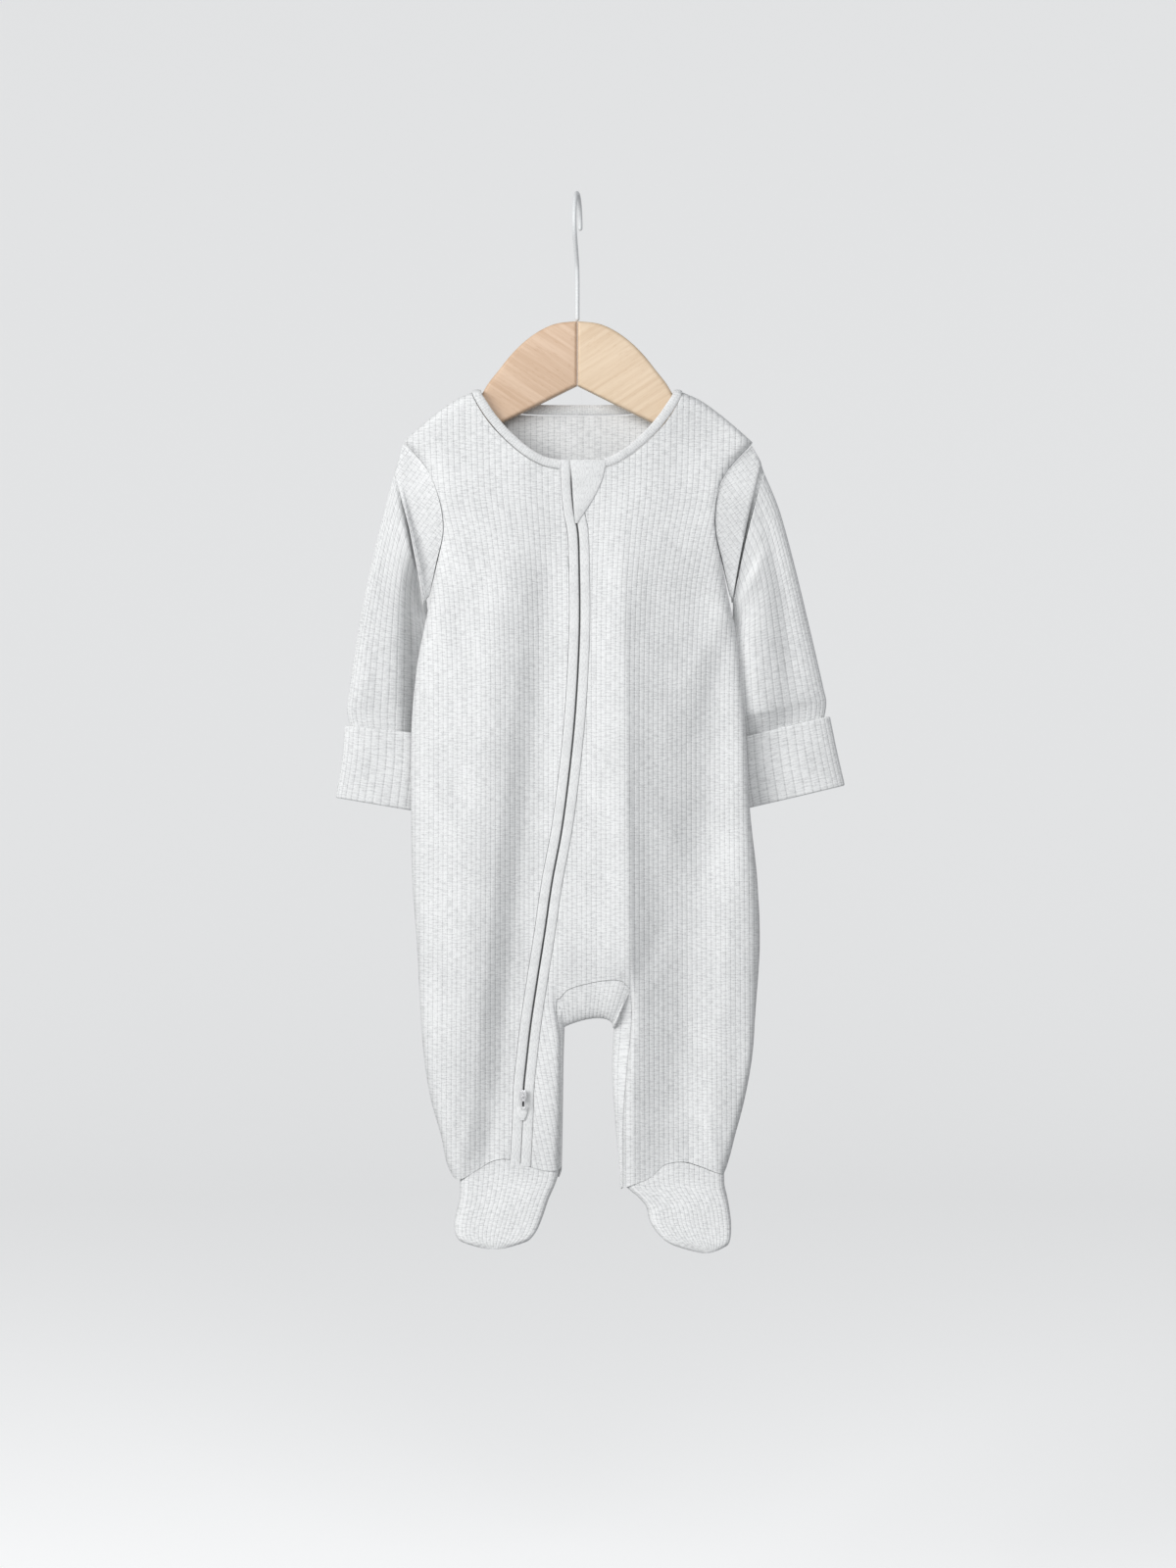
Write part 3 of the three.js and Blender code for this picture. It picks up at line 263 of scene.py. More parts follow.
# The long soft ridges and troughs of the hanging cloth, and the short creases that the
# seams pull into it, each along its own line.
FOLDS = [
    dict(face="front", topX=-46, topZ=-215, endX=-84, endZ=-625, wide=15, deep=2.8),
    dict(face="front", topX=-12, topZ=-205, endX=-46, endZ=-625, wide=16, deep=-2.8),
    dict(face="front", topX=28, topZ=-225, endX=33, endZ=-530, wide=13, deep=3),
    dict(face="front", topX=96, topZ=-300, endX=62, endZ=-625, wide=17, deep=-3.4),
    dict(face="front", topX=106, topZ=-380, endX=92, endZ=-625, wide=11, deep=1.6),
    dict(face="back", topX=44, topZ=-205, endX=66, endZ=-625, wide=18, deep=2.4),
    dict(face="back", topX=12, topZ=-205, endX=6, endZ=-500, wide=17, deep=-3),
    dict(face="back", topX=-38, topZ=-205, endX=-58, endZ=-625, wide=18, deep=2.6),
    dict(face="back", topX=-76, topZ=-290, endX=-84, endZ=-520, wide=14, deep=-2.2),
]
CREASES = [
    dict(face="front", x0=-96, z0=-268, x1=-62, z1=-322, wide=7, deep=1.1),
    dict(face="front", x0=-98, z0=-286, x1=-70, z1=-352, wide=6, deep=-0.9),
    dict(face="front", x0=99, z0=-268, x1=66, z1=-330, wide=7, deep=1.1),
    dict(face="front", x0=101, z0=-290, x1=74, z1=-368, wide=6, deep=-0.9),
    dict(face="front", x0=-14, z0=-514, x1=-38, z1=-470, wide=6, deep=-0.9),
    dict(face="front", x0=36, z0=-514, x1=62, z1=-466, wide=7, deep=-1.2),
    dict(face="front", x0=20, z0=-508, x1=18, z1=-440, wide=6, deep=0.8),
    dict(face="front", x0=-78, z0=-638, x1=-64, z1=-588, wide=5, deep=1.2),
    dict(face="front", x0=-60, z0=-632, x1=-56, z1=-600, wide=4, deep=-0.9),
    dict(face="front", x0=92, z0=-636, x1=82, z1=-590, wide=5, deep=1.6),
    dict(face="front", x0=74, z0=-632, x1=72, z1=-604, wide=4, deep=-1),
    dict(face="back", x0=-96, z0=-268, x1=-58, z1=-330, wide=7, deep=1.2),
    dict(face="back", x0=99, z0=-268, x1=64, z1=-326, wide=7, deep=1.2),
    dict(face="back", x0=-14, z0=-514, x1=-42, z1=-462, wide=7, deep=-1.2),
    dict(face="back", x0=36, z0=-514, x1=60, z1=-460, wide=7, deep=-1.1),
    dict(face="back", x0=10, z0=-506, x1=8, z1=-430, wide=7, deep=1),
]

# The deep hanging folds: each rises slowly from its left, drops along its line over wide,
# quickly at first, and is strongest where strong says.
DROPS = [
    dict(face="front", top_x=-26, top_z=-250, end_x=-64, end_z=-625, wide=19, rise=50, drop=6.2, ease=0),
    dict(face="front", top_x=33, top_z=-235, end_x=39.5, end_z=-625, wide=50, rise=34, drop=8, ease=0.8),
    dict(face="front", top_x=66, top_z=-190, end_x=98, end_z=-370, wide=18, rise=24, drop=1.6, ease=0),
    dict(face="back", top_x=-40, top_z=-215, end_x=-52, end_z=-625, wide=20, rise=40, drop=4, ease=0),
    dict(face="back", top_x=30, top_z=-225, end_x=44, end_z=-625, wide=26, rise=36, drop=4.5, ease=0),
]
DROP_STRENGTH = [
    dict(z=-190, strong=0.12),
    dict(z=-262, strong=0.32),
    dict(z=-345, strong=0.6),
    dict(z=-400, strong=0.82),
    dict(z=-480, strong=1),
    dict(z=-560, strong=0.92),
    dict(z=-600, strong=0.62),
    dict(z=-640, strong=0.35),
]

# The zip's own line down the front, and half the width that its edges and coil take.
ZIP = [
    dict(z=-173, x=-4.2),
    dict(z=-192, x=-3.6),
    dict(z=-206, x=-2.2),
    dict(z=-220, x=0.4),
    dict(z=-239, x=1.2),
    dict(z=-276, x=1.6),
    dict(z=-307, x=0.6),
    dict(z=-344, x=-1.8),
    dict(z=-384, x=-6),
    dict(z=-416, x=-10.4),
    dict(z=-448, x=-16.4),
    dict(z=-481, x=-21.2),
    dict(z=-513, x=-26.2),
    dict(z=-540, x=-30.2),
    dict(z=-566, x=-33.2),
    dict(z=-582, x=-34.8),
    dict(z=-603, x=-35.4),
    dict(z=-634, x=-37),
]

ZIP_REACH = 6.9


def mix(a, b, share):
    return a + (b - a) * share


def smooth(start, end, at):
    u = np.clip((at - start) / (end - start), 0, 1)
    return u * u * (3 - 2 * u)


def read(table, by, at, column):
    """A named column of a table at any place between its rows, on a smooth curve."""
    place = np.array([row[by] for row in table], float)
    value = np.array([row[column] for row in table], float)
    if place[-1] < place[0]:
        place, value = place[::-1], value[::-1]
    before = np.maximum(np.arange(len(place)) - 1, 0)
    after = np.minimum(np.arange(len(place)) + 1, len(place) - 1)
    slope = (value[after] - value[before]) / (place[after] - place[before])
    at = np.clip(at, place[0], place[-1])
    k = np.clip(np.searchsorted(place, at, side="right") - 1, 0, len(place) - 2)
    span = place[k + 1] - place[k]
    u = (at - place[k]) / span
    start = 2 * u**3 - 3 * u**2 + 1
    bend = (u**3 - 2 * u**2 + u) * slope[k] + (u**3 - u**2) * slope[k + 1]
    return start * value[k] + (1 - start) * value[k + 1] + bend * span


def lens(s):
    """The rounded section of flat cloth, full in the middle and thin at both edges."""
    power = np.where(s > 0, LENS_POWER["right"], LENS_POWER["left"])
    return np.sqrt(np.maximum(0, 1 - np.abs(s) ** power))


def fold_height(face, x, z):
    """How far the folds and creases lift or sink the cloth."""
    height = 0
    for fold in FOLDS:
        if fold["face"] == face:
            way = (z - fold["topZ"]) / (fold["endZ"] - fold["topZ"])
            line = mix(fold["topX"], fold["endX"], np.clip(way, 0, 1))
            fade = smooth(-0.12, 0.18, way) * (1 - smooth(0.85, 1.1, way))
            height = height + fold["deep"] * fade * np.exp(-(((x - line) / fold["wide"]) ** 2))
    for fold in DROPS:
        if fold["face"] == face:
            way = (z - fold["top_z"]) / (fold["end_z"] - fold["top_z"])
            line = mix(fold["top_x"], fold["end_x"], np.clip(way, 0, 1))
            down = np.clip(
                (x - line + fold["wide"] * 0.5 * (1 - fold["ease"])) / fold["wide"], 0, 1
            )
            even, quick = down * down * (3 - 2 * down), 1 - (1 - down) ** 3
            quick = quick * smooth(0, 0.12, down)
            up = smooth(-fold["rise"], 0, x - line + fold["wide"] * 0.5 * (1 - fold["ease"]))
            back_up = 1 - smooth(fold["wide"], fold["wide"] + 40, x - line)
            shape = 0.5 * up - mix(even, quick, fold["ease"]) * mix(0.5, 1, back_up)
            height = height + fold["drop"] * read(DROP_STRENGTH, "z", z, "strong") * shape
    for crease in CREASES:
        if crease["face"] == face:
            along = np.array([crease["x1"] - crease["x0"], crease["z1"] - crease["z0"]], float)
            reach = along @ along
            way = ((x - crease["x0"]) * along[0] + (z - crease["z0"]) * along[1]) / reach
            near = np.clip(way, 0, 1)
            off = (x - crease["x0"] - near * along[0]) ** 2 + (z - crease["z0"] - near * along[1]) ** 2
            fade = np.sin(np.pi * np.clip(0.3 + 0.7 * way, 0, 1)) * np.clip(1 + 3 * way, 0, 1)
            height = height + crease["deep"] * fade * np.exp(-off / crease["wide"] ** 2)
    return height


def body_depth(face, x, z):
    """How far the front or back stands from the middle plane."""
    left, right = read(BODY, "z", z, "left"), read(BODY, "z", z, "right")
    full = read(BODY, "z", z, face)
    folds = fold_height(face, x, z)
    down = np.clip((z - SHOULDER_POINT_Z) / (UNDERARM_Z - SHOULDER_POINT_Z), 0, 1)
    open_by = ARMHOLE_DEPTH * np.sin(np.pi * down)
    share = (2 * x - left - right) / (right - left)
    if face == "front":
        full = full - FLATTER * (full - open_by) * smooth(0.4, 0.86, share) * smooth(-470, -410, z)
    torso = open_by + (full - open_by + folds) * lens(share)
    inside_left = read(INSIDE_LEG, "z", z, "left")
    inside_right = read(INSIDE_LEG, "z", z, "right")
    on_left = x < (inside_left + inside_right) / 2
    outside = np.where(on_left, left, right)
    inside = np.where(on_left, inside_left, inside_right)
    way = np.clip((x - outside) / (inside - outside), 0, 1)
    inseam = mix(INSEAM_HALF, INSEAM_FULL, smooth(-632, -590, z)) * way
    leg = inseam + (LEG_DEPTH + INSEAM_HALF * way + folds - inseam) * lens(
        (2 * way - 1) * np.where(on_left, 1, -1)
    )
    roll = np.clip((read(SHOULDER, "x", np.abs(x), "z") - z) / SHOULDER_ROLL, 0, 1)
    split = smooth(LEG_SPLIT_TOP_Z, LEG_SPLIT_END_Z, z)
    return mix(torso, leg, split) * np.sqrt(1 - (1 - roll) ** 2)


def on_body(face, x, z, proud=0.0):
    """Points on the cloth's outside, as an array whose last axis is x, y, z."""
    x, z = np.broadcast_arrays(np.asarray(x, float), np.asarray(z, float))
    side = -1 if face == "front" else 1
    return np.stack([x, side * (body_depth(face, x, z) + SEAM_GAP / 2 + proud), z], axis=-1)


def unit(vectors):
    return vectors / np.maximum(np.linalg.norm(vectors, axis=-1, keepdims=True), 1e-9)


def body_normals(face, x, z, inwards=0.0):
    """Outward normals of the cloth at those points, or at points moved along x by inwards."""
    step = 0.4
    side = -1 if face == "front" else 1
    x = x + inwards
    slope_x = (body_depth(face, x + step, z) - body_depth(face, x - step, z)) / (2 * step)
    slope_z = (body_depth(face, x, z + step) - body_depth(face, x, z - step)) / (2 * step)
    return unit(np.stack([-slope_x, np.full_like(slope_x, side), -slope_z], axis=-1))


def rib_profile(u, height=RIB_HEIGHT):
    """The height of a rib with a broad flat crest and a narrow groove at whole numbers."""
    return height * np.interp(
        u % 1, [0, 0.08, 0.17, 0.34, 0.66, 0.83, 0.92, 1], [0, 0.66, 0.9, 1, 1, 0.9, 0.66, 0]
    )


def zip_x(z):
    return read(ZIP, "z", z, "x")


def beside_zip(z, offset):
    """The x of a line that keeps a distance from the zip, measured along the cloth."""
    slope = (zip_x(z - 2) - zip_x(z + 2)) / 4
    return zip_x(z) + offset * np.sqrt(1 + slope**2)


def top_edge(face, x):
    """The height of a panel's top edge over x: its neckline, then its shoulder."""
    reach = np.abs(x)
    return np.where(
        reach < HALF_NECK,
        read(NECKLINE, "x", reach, face),
        read(SHOULDER, "x", reach, "z"),
    )


def lean_at(z, lean):
    return lean * np.maximum(INNER_LEG_LEAN_Z - z, 0) ** 1.15 * 0.5


def rib_x(rib, z, lean=0.0):
    return rib * read(RIB_GAUGE, "z", z, "pitch") + lean_at(z, lean)


def rib_number(x, z, lean=0.0):
    return (x - lean_at(z, lean)) / read(RIB_GAUGE, "z", z, "pitch")


CHEST_SHARES = np.linspace(0, 1, 24) ** 1.4
HIP_SHARES = np.linspace(0, 1, 44)[1:]
LEG_SHARES = np.linspace(0, 1, 28)[1:]


def panel_plan(face, lean=0.0):
    """The x and z of every point of a panel: the trunk, then each leg.

    Every column follows a rib, and stops at the edge that cuts it off. The last item
    tells which columns are the fork's two corners, and which ones the plain inside uses."""

    def within(x, z):
        return np.clip(x, read(BODY, "z", z, "left"), read(BODY, "z", z, "right"))

    def fork_z(x):
        z = np.full_like(x, -515.0)
        across = (x - read(BODY, "z", z, "left")) / (
            read(BODY, "z", z, "right") - read(BODY, "z", z, "left")
        )
        return read(FORK, "across", across, "z")

    corners = []
    for share in (FORK_LEFT, FORK_RIGHT):
        z = read(FORK, "across", share, "z")
        x = mix(read(BODY, "z", z, "left"), read(BODY, "z", z, "right"), share)
        corners.append(float(rib_number(x, fork_z(np.array([x]))[0])))
    ribs = (np.arange(-40, 41)[:, None] + np.array(RIB_PLACES)).ravel()
    ribs = np.array([rib for rib in ribs if min(abs(rib - corner) for corner in corners) > 0.03])
    ribs = np.sort(np.concatenate([ribs, corners]))
    first, last = (int(np.argmin(np.abs(ribs - corner))) for corner in corners)
    plain = np.flatnonzero((np.abs(ribs - np.round(ribs)) < 0.01) | np.isin(ribs, corners))

    x = within(rib_x(ribs, UNDERARM_Z), UNDERARM_Z)
    rows = []
    for share in CHEST_SHARES:
        for _ in range(10):
            z = mix(top_edge(face, x), UNDERARM_Z, share)
            x = within(rib_x(ribs, z), z)
        rows.append((x, mix(top_edge(face, x), UNDERARM_Z, share) if share < 1 else z))
    for share in HIP_SHARES:
        for _ in range(6):
            z = mix(UNDERARM_Z, fork_z(x), share)
            x = within(rib_x(ribs, z), z)
        rows.append((x, z))
    torso_x, torso_z = (np.array(part) for part in zip(*rows))
    plan = {"torso": (torso_x, torso_z, plain)}
    extra = 14
    for side in ("left", "right"):
        vamp = VAMP_LEFT if side == "left" else VAMP_RIGHT
        picked = np.arange(0, first + 1 + extra) if side == "left" else np.arange(last - extra, len(ribs))
        corner = first if side == "left" else last
        beyond = picked > corner if side == "left" else picked < corner
        top_x = np.where(beyond, torso_x[-1, corner], torso_x[-1, picked])
        top_z = np.where(beyond, torso_z[-1, corner], torso_z[-1, picked])
        side_lean = lean if side == "left" else 0.0

        def leg_x(z, way, side=side, picked=picked, corner=corner, side_lean=side_lean):
            x = within(rib_x(ribs[picked], z, side_lean), z)
            inside = read(INSIDE_LEG, "z", z, side)
            inside = mix(torso_x[-1, corner], inside, min(way * 6, 1))
            return np.minimum(x, inside) if side == "left" else np.maximum(x, inside)

        hem = np.full(picked.size, HEEL_SEAM_Z + VAMP_GAP)
        if face == "front":
            for _ in range(8):
                hem = read(vamp, "x", leg_x(hem, 1), "z") + VAMP_GAP
        grid = [(top_x, top_z)]
        for way in LEG_SHARES:
            z = mix(top_z, hem, way)
            grid.append((leg_x(z, way), z))
        leg_grid = tuple(np.array(part) for part in zip(*grid))
        used = np.flatnonzero(np.isin(picked, plain))
        used = np.union1d(used, [0, picked.size - 1])
        plan[side] = (*leg_grid, used)
    return plan, first, last


class Cloth:
    """Gathers grids and strips of points and makes them one closed mesh.

    A point is x, y, z in millimetres, then the rib number and the length along the rib,
    in ribs, which become the piece's own map."""

    def __init__(self):
        self.points = []
        self.faces = []
        self.size = 0

    def add(self, grid):
        index = self.size + np.arange(grid[..., 0].size).reshape(grid.shape[:-1])
        self.points.append(grid.reshape(-1, 5))
        self.size += grid[..., 0].size
        return index

    def face(self, grid, outwards=True):
        index = self.add(grid)
        a, b = index[:-1, :-1].ravel(), index[:-1, 1:].ravel()
        d, e = index[1:, :-1].ravel(), index[1:, 1:].ravel()
        corners = (a, d, e, b) if outwards else (a, b, e, d)
        self.faces += np.stack(corners, axis=1).tolist()

    def strip(self, first, second):
        """Fills between two edges that run the same way, whatever their numbers of points."""
        one, two = self.add(first), self.add(second)
        gone = []
        for edge in (first, second):
            steps = np.linalg.norm(np.diff(edge[:, :3], axis=0), axis=1) + 1e-7
            gone.append(np.concatenate([[0], np.cumsum(steps)]) / steps.sum())
        i = j = 0
        while i < len(one) - 1 or j < len(two) - 1:
            if j == len(two) - 1 or (i < len(one) - 1 and gone[0][i + 1] <= gone[1][j + 1] + 1e-9):
                self.faces.append([one[i], one[i + 1], two[j]])
                i += 1
            else:
                self.faces.append([one[i], two[j + 1], two[j]])
                j += 1

    def wall(self, outer, inner, edges):
        self.face(outer)
        self.face(inner, outwards=False)
        if "top" in edges:
            self.strip(outer[0], inner[0])
        if "bottom" in edges:
            self.strip(outer[-1][::-1], inner[-1][::-1])
        if "left" in edges:
            self.strip(outer[::-1, 0], inner[::-1, 0])
        if "right" in edges:
            self.strip(outer[:, -1], inner[:, -1])

    def mesh(self, name, material, sharp=60):
        points = np.concatenate(self.points)
        places, merged = np.unique(np.round(points[:, :3], 4), axis=0, return_inverse=True)
        merged = merged.reshape(-1)
        faces, corners = [], []
        for face in self.faces:
            kept = [(merged[c], c) for k, c in enumerate(face) if merged[c] != merged[face[k - 1]]]
            if len({place for place, _ in kept}) == len(kept) >= 3:
                faces.append([int(place) for place, _ in kept])
                corners += [c for _, c in kept]
        mesh = bpy.data.meshes.new(name)
        mesh.from_pydata((places * MM).tolist(), [], faces)
        layer = mesh.uv_layers.new(name="cloth")
        layer.uv.foreach_set("vector", points[corners, 3:].astype(np.float32).ravel())
        mesh.polygons.foreach_set("use_smooth", [True] * len(faces))
        mesh.set_sharp_from_angle(angle=math.radians(sharp))
        mesh.materials.append(material)
        return mesh


def mapped(grid, rib, along):
    """Joins points with their map: the rib number and the length along it."""
    rib, along = np.broadcast_arrays(rib, along)
    return np.concatenate([grid, rib[..., None], along[..., None]], axis=-1)


class Value:
    """A socket of a material that Python's own operators work on."""

    def __init__(self, finish, socket):
        self.finish = finish
        self.socket = socket

    def math(self, operation, *others):
        inputs = dict(enumerate([self, *others]))
        return self.finish.node("ShaderNodeMath", {"operation": operation}, inputs)

    def __add__(self, other):
        return self.math("ADD", other)

    def __sub__(self, other):
        return self.math("SUBTRACT", other)

    def __rsub__(self, other):
        return self.finish.node("ShaderNodeMath", {"operation": "SUBTRACT"}, {0: other, 1: self})

    def __mul__(self, other):
        return self.math("MULTIPLY", other)

    __radd__ = __add__
    __rmul__ = __mul__

    def step(self, low, high):
        """Rises smoothly from 0 to 1 as this goes from low to high."""
        inputs = {"Value": self, "From Min": low, "From Max": high}
        return self.finish.node("ShaderNodeMapRange", {"interpolation_type": "SMOOTHSTEP"}, inputs)


class Finish:
    """A material, built one node at a time."""

    def __init__(self, name, **surface):
        self.material = bpy.data.materials.new(name)
        self.material.use_nodes = True
        self.tree = self.material.node_tree
        self.shader = self.tree.nodes["Principled BSDF"]
        self.set(**surface)

    def node(self, kind, settings=None, inputs=None, output=0):
        made = self.tree.nodes.new(kind)
        for key, value in (settings or {}).items():
            setattr(made, key, value)
        for key, value in (inputs or {}).items():
            self.join(made.inputs[key], value)
        return Value(self, made.outputs[output])

    def join(self, socket, value):
        if isinstance(value, Value):
            self.tree.links.new(value.socket, socket)
        else:
            socket.default_value = value

    def set(self, **surface):
        for key, value in surface.items():
            self.join(
                self.shader.inputs[key.replace("_", " ").title().replace("Ior", "IOR")], value
            )

    def blend(self, share, first, second):
        inputs = {0: share, 6: (*first, 1), 7: (*second, 1)}
        return self.node("ShaderNodeMix", {"data_type": "RGBA"}, inputs, output=2)

    def scaled(self, vector, scale):
        inputs = {0: vector, 1: scale}
        return self.node("ShaderNodeVectorMath", {"operation": "MULTIPLY"}, inputs)

    def noise(self, vector, scale, detail=2.0):
        inputs = {"Vector": vector, "Scale": scale, "Detail": detail}
        return self.node("ShaderNodeTexNoise", {}, inputs)

    def bump(self, height, distance, strength=1.0):
        inputs = {"Height": height, "Distance": distance, "Strength": strength}
        self.set(normal=self.node("ShaderNodeBump", {}, inputs))


def knit(name, pale, deep, groove, wales, ribbed=0.0):
    """Marl cotton jersey: pale and darker fibres, stitch columns, and painted shade in the fine rib grooves.
    """
    finish = Finish(name, roughness=0.95, specular_ior_level=0.15, sheen_weight=0.1)
    place = finish.node("ShaderNodeUVMap", {"uv_map": "cloth"})
    across = finish.node("ShaderNodeSeparateXYZ", {}, {0: place})
    along = Value(finish, across.socket.node.outputs[1])
    phase = across.math("FRACT")
    to_groove = phase.math("MINIMUM", 1 - phase)
    groove_shade_mask = 1 - to_groove.step(0.03, 0.13)
    breaks = finish.noise(finish.scaled(place, (1, 1.1, 1)), 1.3).step(0.3, 0.6)
    streaks = finish.noise(finish.scaled(place, (0.7, 3.4, 1)), 1.0, detail=3.0).step(0.42, 0.64)
    flecks = finish.noise(finish.scaled(place, (2.2, 3.2, 1)), 1.7, detail=1.0).step(0.5, 0.76)
    clouds = finish.noise(finish.scaled(place, (0.16, 0.1, 1)), 1.0).step(0.3, 0.7)
    marl = 0.32 * streaks + 0.34 * flecks + 0.12 * clouds
    # The rib grooves are darkened in the colour by groove, broken up by noise: painted shade where the grooves
    # fall into shadow.
    tone = marl + groove * groove_shade_mask * (0.45 + 0.55 * breaks)
    finish.set(base_color=finish.blend(tone, pale, deep))
    wale = (across * wales).math("FRACT").math("SUBTRACT", 0.5).math("ABSOLUTE")
    course = ((along * 3.0 + wale) * (2 * math.pi)).math("SINE")
    fuzz = finish.noise(finish.scaled(place, (5, 7, 1)), 1.2, detail=3.0)
    relief = 0.16 * course + 0.4 * wale + 1.3 * fuzz
    if ribbed:
        relief = relief + ribbed * to_groove
    finish.bump(relief, 0.00012)
    return finish.material


PALE_MARL = (0.86, 0.865, 0.865)
# The deep colour serves both the darker marl fibres and the painted shade in the rib grooves.
DEEP_MARL_AND_GROOVE_SHADE = (0.42, 0.425, 0.43)
rib_knit = knit("rib_knit", PALE_MARL, DEEP_MARL_AND_GROOVE_SHADE, groove=0.36, wales=4, ribbed=0.5)


def piece(name, mesh, slot, *nodes, body="suit"):
    made = bpy.data.objects.new(name, mesh)
    scene.collection.objects.link(made)
    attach(made, body)
    if nodes:
        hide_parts(*nodes)
    return made


def panel(face, keep=None):
    """A front or back, cut off beside the zip where keep gives the part that stays."""
    side = -1 if face == "front" else 1
    cloth = Cloth()
    lean = INNER_LEG_LEAN if keep == "left" else 0.0
    plan, first, last = panel_plan(face, lean)
    for part, (x, z, plain) in plan.items():
        if keep == "right" and part == "right":
            continue
        if keep:
            edge = beside_zip(z, -ZIP_REACH if keep == "right" else ZIP_REACH)
            x = np.minimum(x, edge) if keep == "right" else np.maximum(x, edge)
        rib = rib_number(x, z, lean if part == "left" else 0.0)
        normals = body_normals(face, x, z)
        base = on_body(face, x, z)
        outer = base + normals * rib_profile(rib)[..., None]
        inner = (base - normals * KNIT_WALL)[:, plain]
        inner[..., 1] = side * np.maximum(side * inner[..., 1], SEAM_GAP / 2)
        outer = mapped(outer, rib, -z / RIB_PITCH)
        inner = mapped(inner, rib[:, plain], -z[:, plain] / RIB_PITCH)
        fork_outer = outer[-1, first : last + 1]
        fork_inner = inner[-1, (plain >= first) & (plain <= last)] if part == "torso" else None
        edges = {"left", "right"} | ({"top"} if part == "torso" else {"bottom"})
        if face == "back":
            outer, inner = outer[:, ::-1], inner[:, ::-1]
        cloth.wall(outer, inner, edges)
        if part == "torso":
            ends = (fork_outer, fork_inner) if face == "back" else (fork_outer[::-1], fork_inner[::-1])
            cloth.strip(*ends)
    return cloth


right_front = piece(
    "right_front_cloth",
    panel("front", "right").mesh("right_front_cloth", rib_knit),
    "rib_knit",
    "front_right",
)
left_front = piece(
    "left_front_cloth",
    panel("front", "left").mesh("left_front_cloth", rib_knit),
    "rib_knit",
    "front_left",
)
back_cloth = piece("back_cloth", panel("back").mesh("back_cloth", rib_knit), "rib_knit", "back")

# The gusset: one ribbed strip, sewn up one inside leg, across the fork and down the
# other, and bowed out below the fork. Each row tells how far its middle stands from the seam.
GUSSET_LEFT_LEG = [
    dict(z=-640, clear=1.4),
    dict(z=-570, clear=2),
    dict(z=-540, clear=4),
    dict(z=-524, clear=10),
]

GUSSET_FORK = [
    dict(way=0, x=-9.8, z=-543),
    dict(way=0.2, x=-3, z=-540),
    dict(way=0.45, x=7, z=-537.2),
    dict(way=0.7, x=16, z=-536.6),
    dict(way=0.88, x=21.6, z=-538.6),
    dict(way=1, x=24.2, z=-543),
]

GUSSET_RIGHT_LEG = [
    dict(z=-518, clear=11),
    dict(z=-545, clear=11),
    dict(z=-570, clear=9.6),
    dict(z=-600, clear=5.6),
    dict(z=-640, clear=1.4),
]
GUSSET_ACROSS = 48
GUSSET_LEG_RIBS = 8
GUSSET_SEAM_CLEAR = 0.25


def gusset_seam(face):
    """The seam's points from one ankle over the fork to the other."""
    plan, first, last = panel_plan(face)
    x, z, _ = plan["torso"]
    left_x, left_z, _ = plan["left"]
    right_x, right_z, _ = plan["right"]
    xs = np.concatenate([left_x[:0:-1, -1], x[-1, first : last + 1], right_x[1:, 0]])
    zs = np.concatenate([left_z[:0:-1, -1], z[-1, first : last + 1], right_z[1:, 0]])
    legs, fork = len(LEG_SHARES), last - first + 1
    way = np.concatenate([np.zeros(legs), np.linspace(0, 1, fork), np.ones(legs)])
    return on_body(face, xs, zs), way, legs


def gusset_mesh():
    front, way, legs = gusset_seam("front")
    back = gusset_seam("back")[0]
    x, z = front[:, 0], front[:, 2]
    middle = np.stack(
        [read(GUSSET_FORK, "way", way, "x"), 0 * x, read(GUSSET_FORK, "way", way, "z")], 1
    )
    left_x = x + read(GUSSET_LEFT_LEG, "z", z, "clear")
    right_x = x - read(GUSSET_RIGHT_LEG, "z", z, "clear")
    middle[:legs] = np.stack([left_x, 0 * x, z], 1)[:legs]
    middle[-legs:] = np.stack([right_x, 0 * x, z], 1)[-legs:]
    clear = []
    for seam in (front, back):
        towards = unit((middle - seam) * (1, 0, 1))
        moved = seam + towards * GUSSET_SEAM_CLEAR
        moved[:, 1] *= 0.97
        clear.append(moved)
    middle[:, 1] = (clear[0][:, 1] + clear[1][:, 1]) / 2
    t = np.linspace(0, 1, GUSSET_ACROSS + 1)[None, :, None]
    u = 2 * t - 1
    between = 0.5 + 0.5 * np.sign(u) * np.abs(u) ** 0.65
    bow = (middle - (clear[0] + clear[1]) / 2)[:, None] * (1 - np.abs(u) ** 3.4)
    rows = mix(clear[0][:, None], clear[1][:, None], between) + bow
    normals = -grid_normals(rows, closed=False)
    on_leg = 1 - smooth(0, 0.08, way) * smooth(1, 0.92, way)
    along_rib = rib_number(x, z)[:, None] + 0 * t[..., 0]
    across_rib = t[..., 0] * GUSSET_LEG_RIBS + 0 * along_rib
    height = mix(rib_profile(along_rib), rib_profile(across_rib), on_leg[:, None])
    edge_fade = np.sin(np.pi * t[..., 0]) ** 0.35
    outer = rows + normals * (height * edge_fade)[..., None]
    inner = rows - normals * KNIT_WALL
    rib = mix(along_rib, across_rib + np.round(along_rib[:1]), np.round(on_leg[:, None]))
    cloth = Cloth()
    cloth.wall(
        mapped(outer, rib, -rows[..., 2] / RIB_PITCH)[:, ::-1],
        mapped(inner, rib, -rows[..., 2] / RIB_PITCH)[:, ::-1],
        {"top", "bottom", "left", "right"},
    )
    return cloth.mesh("gusset_cloth", rib_knit)


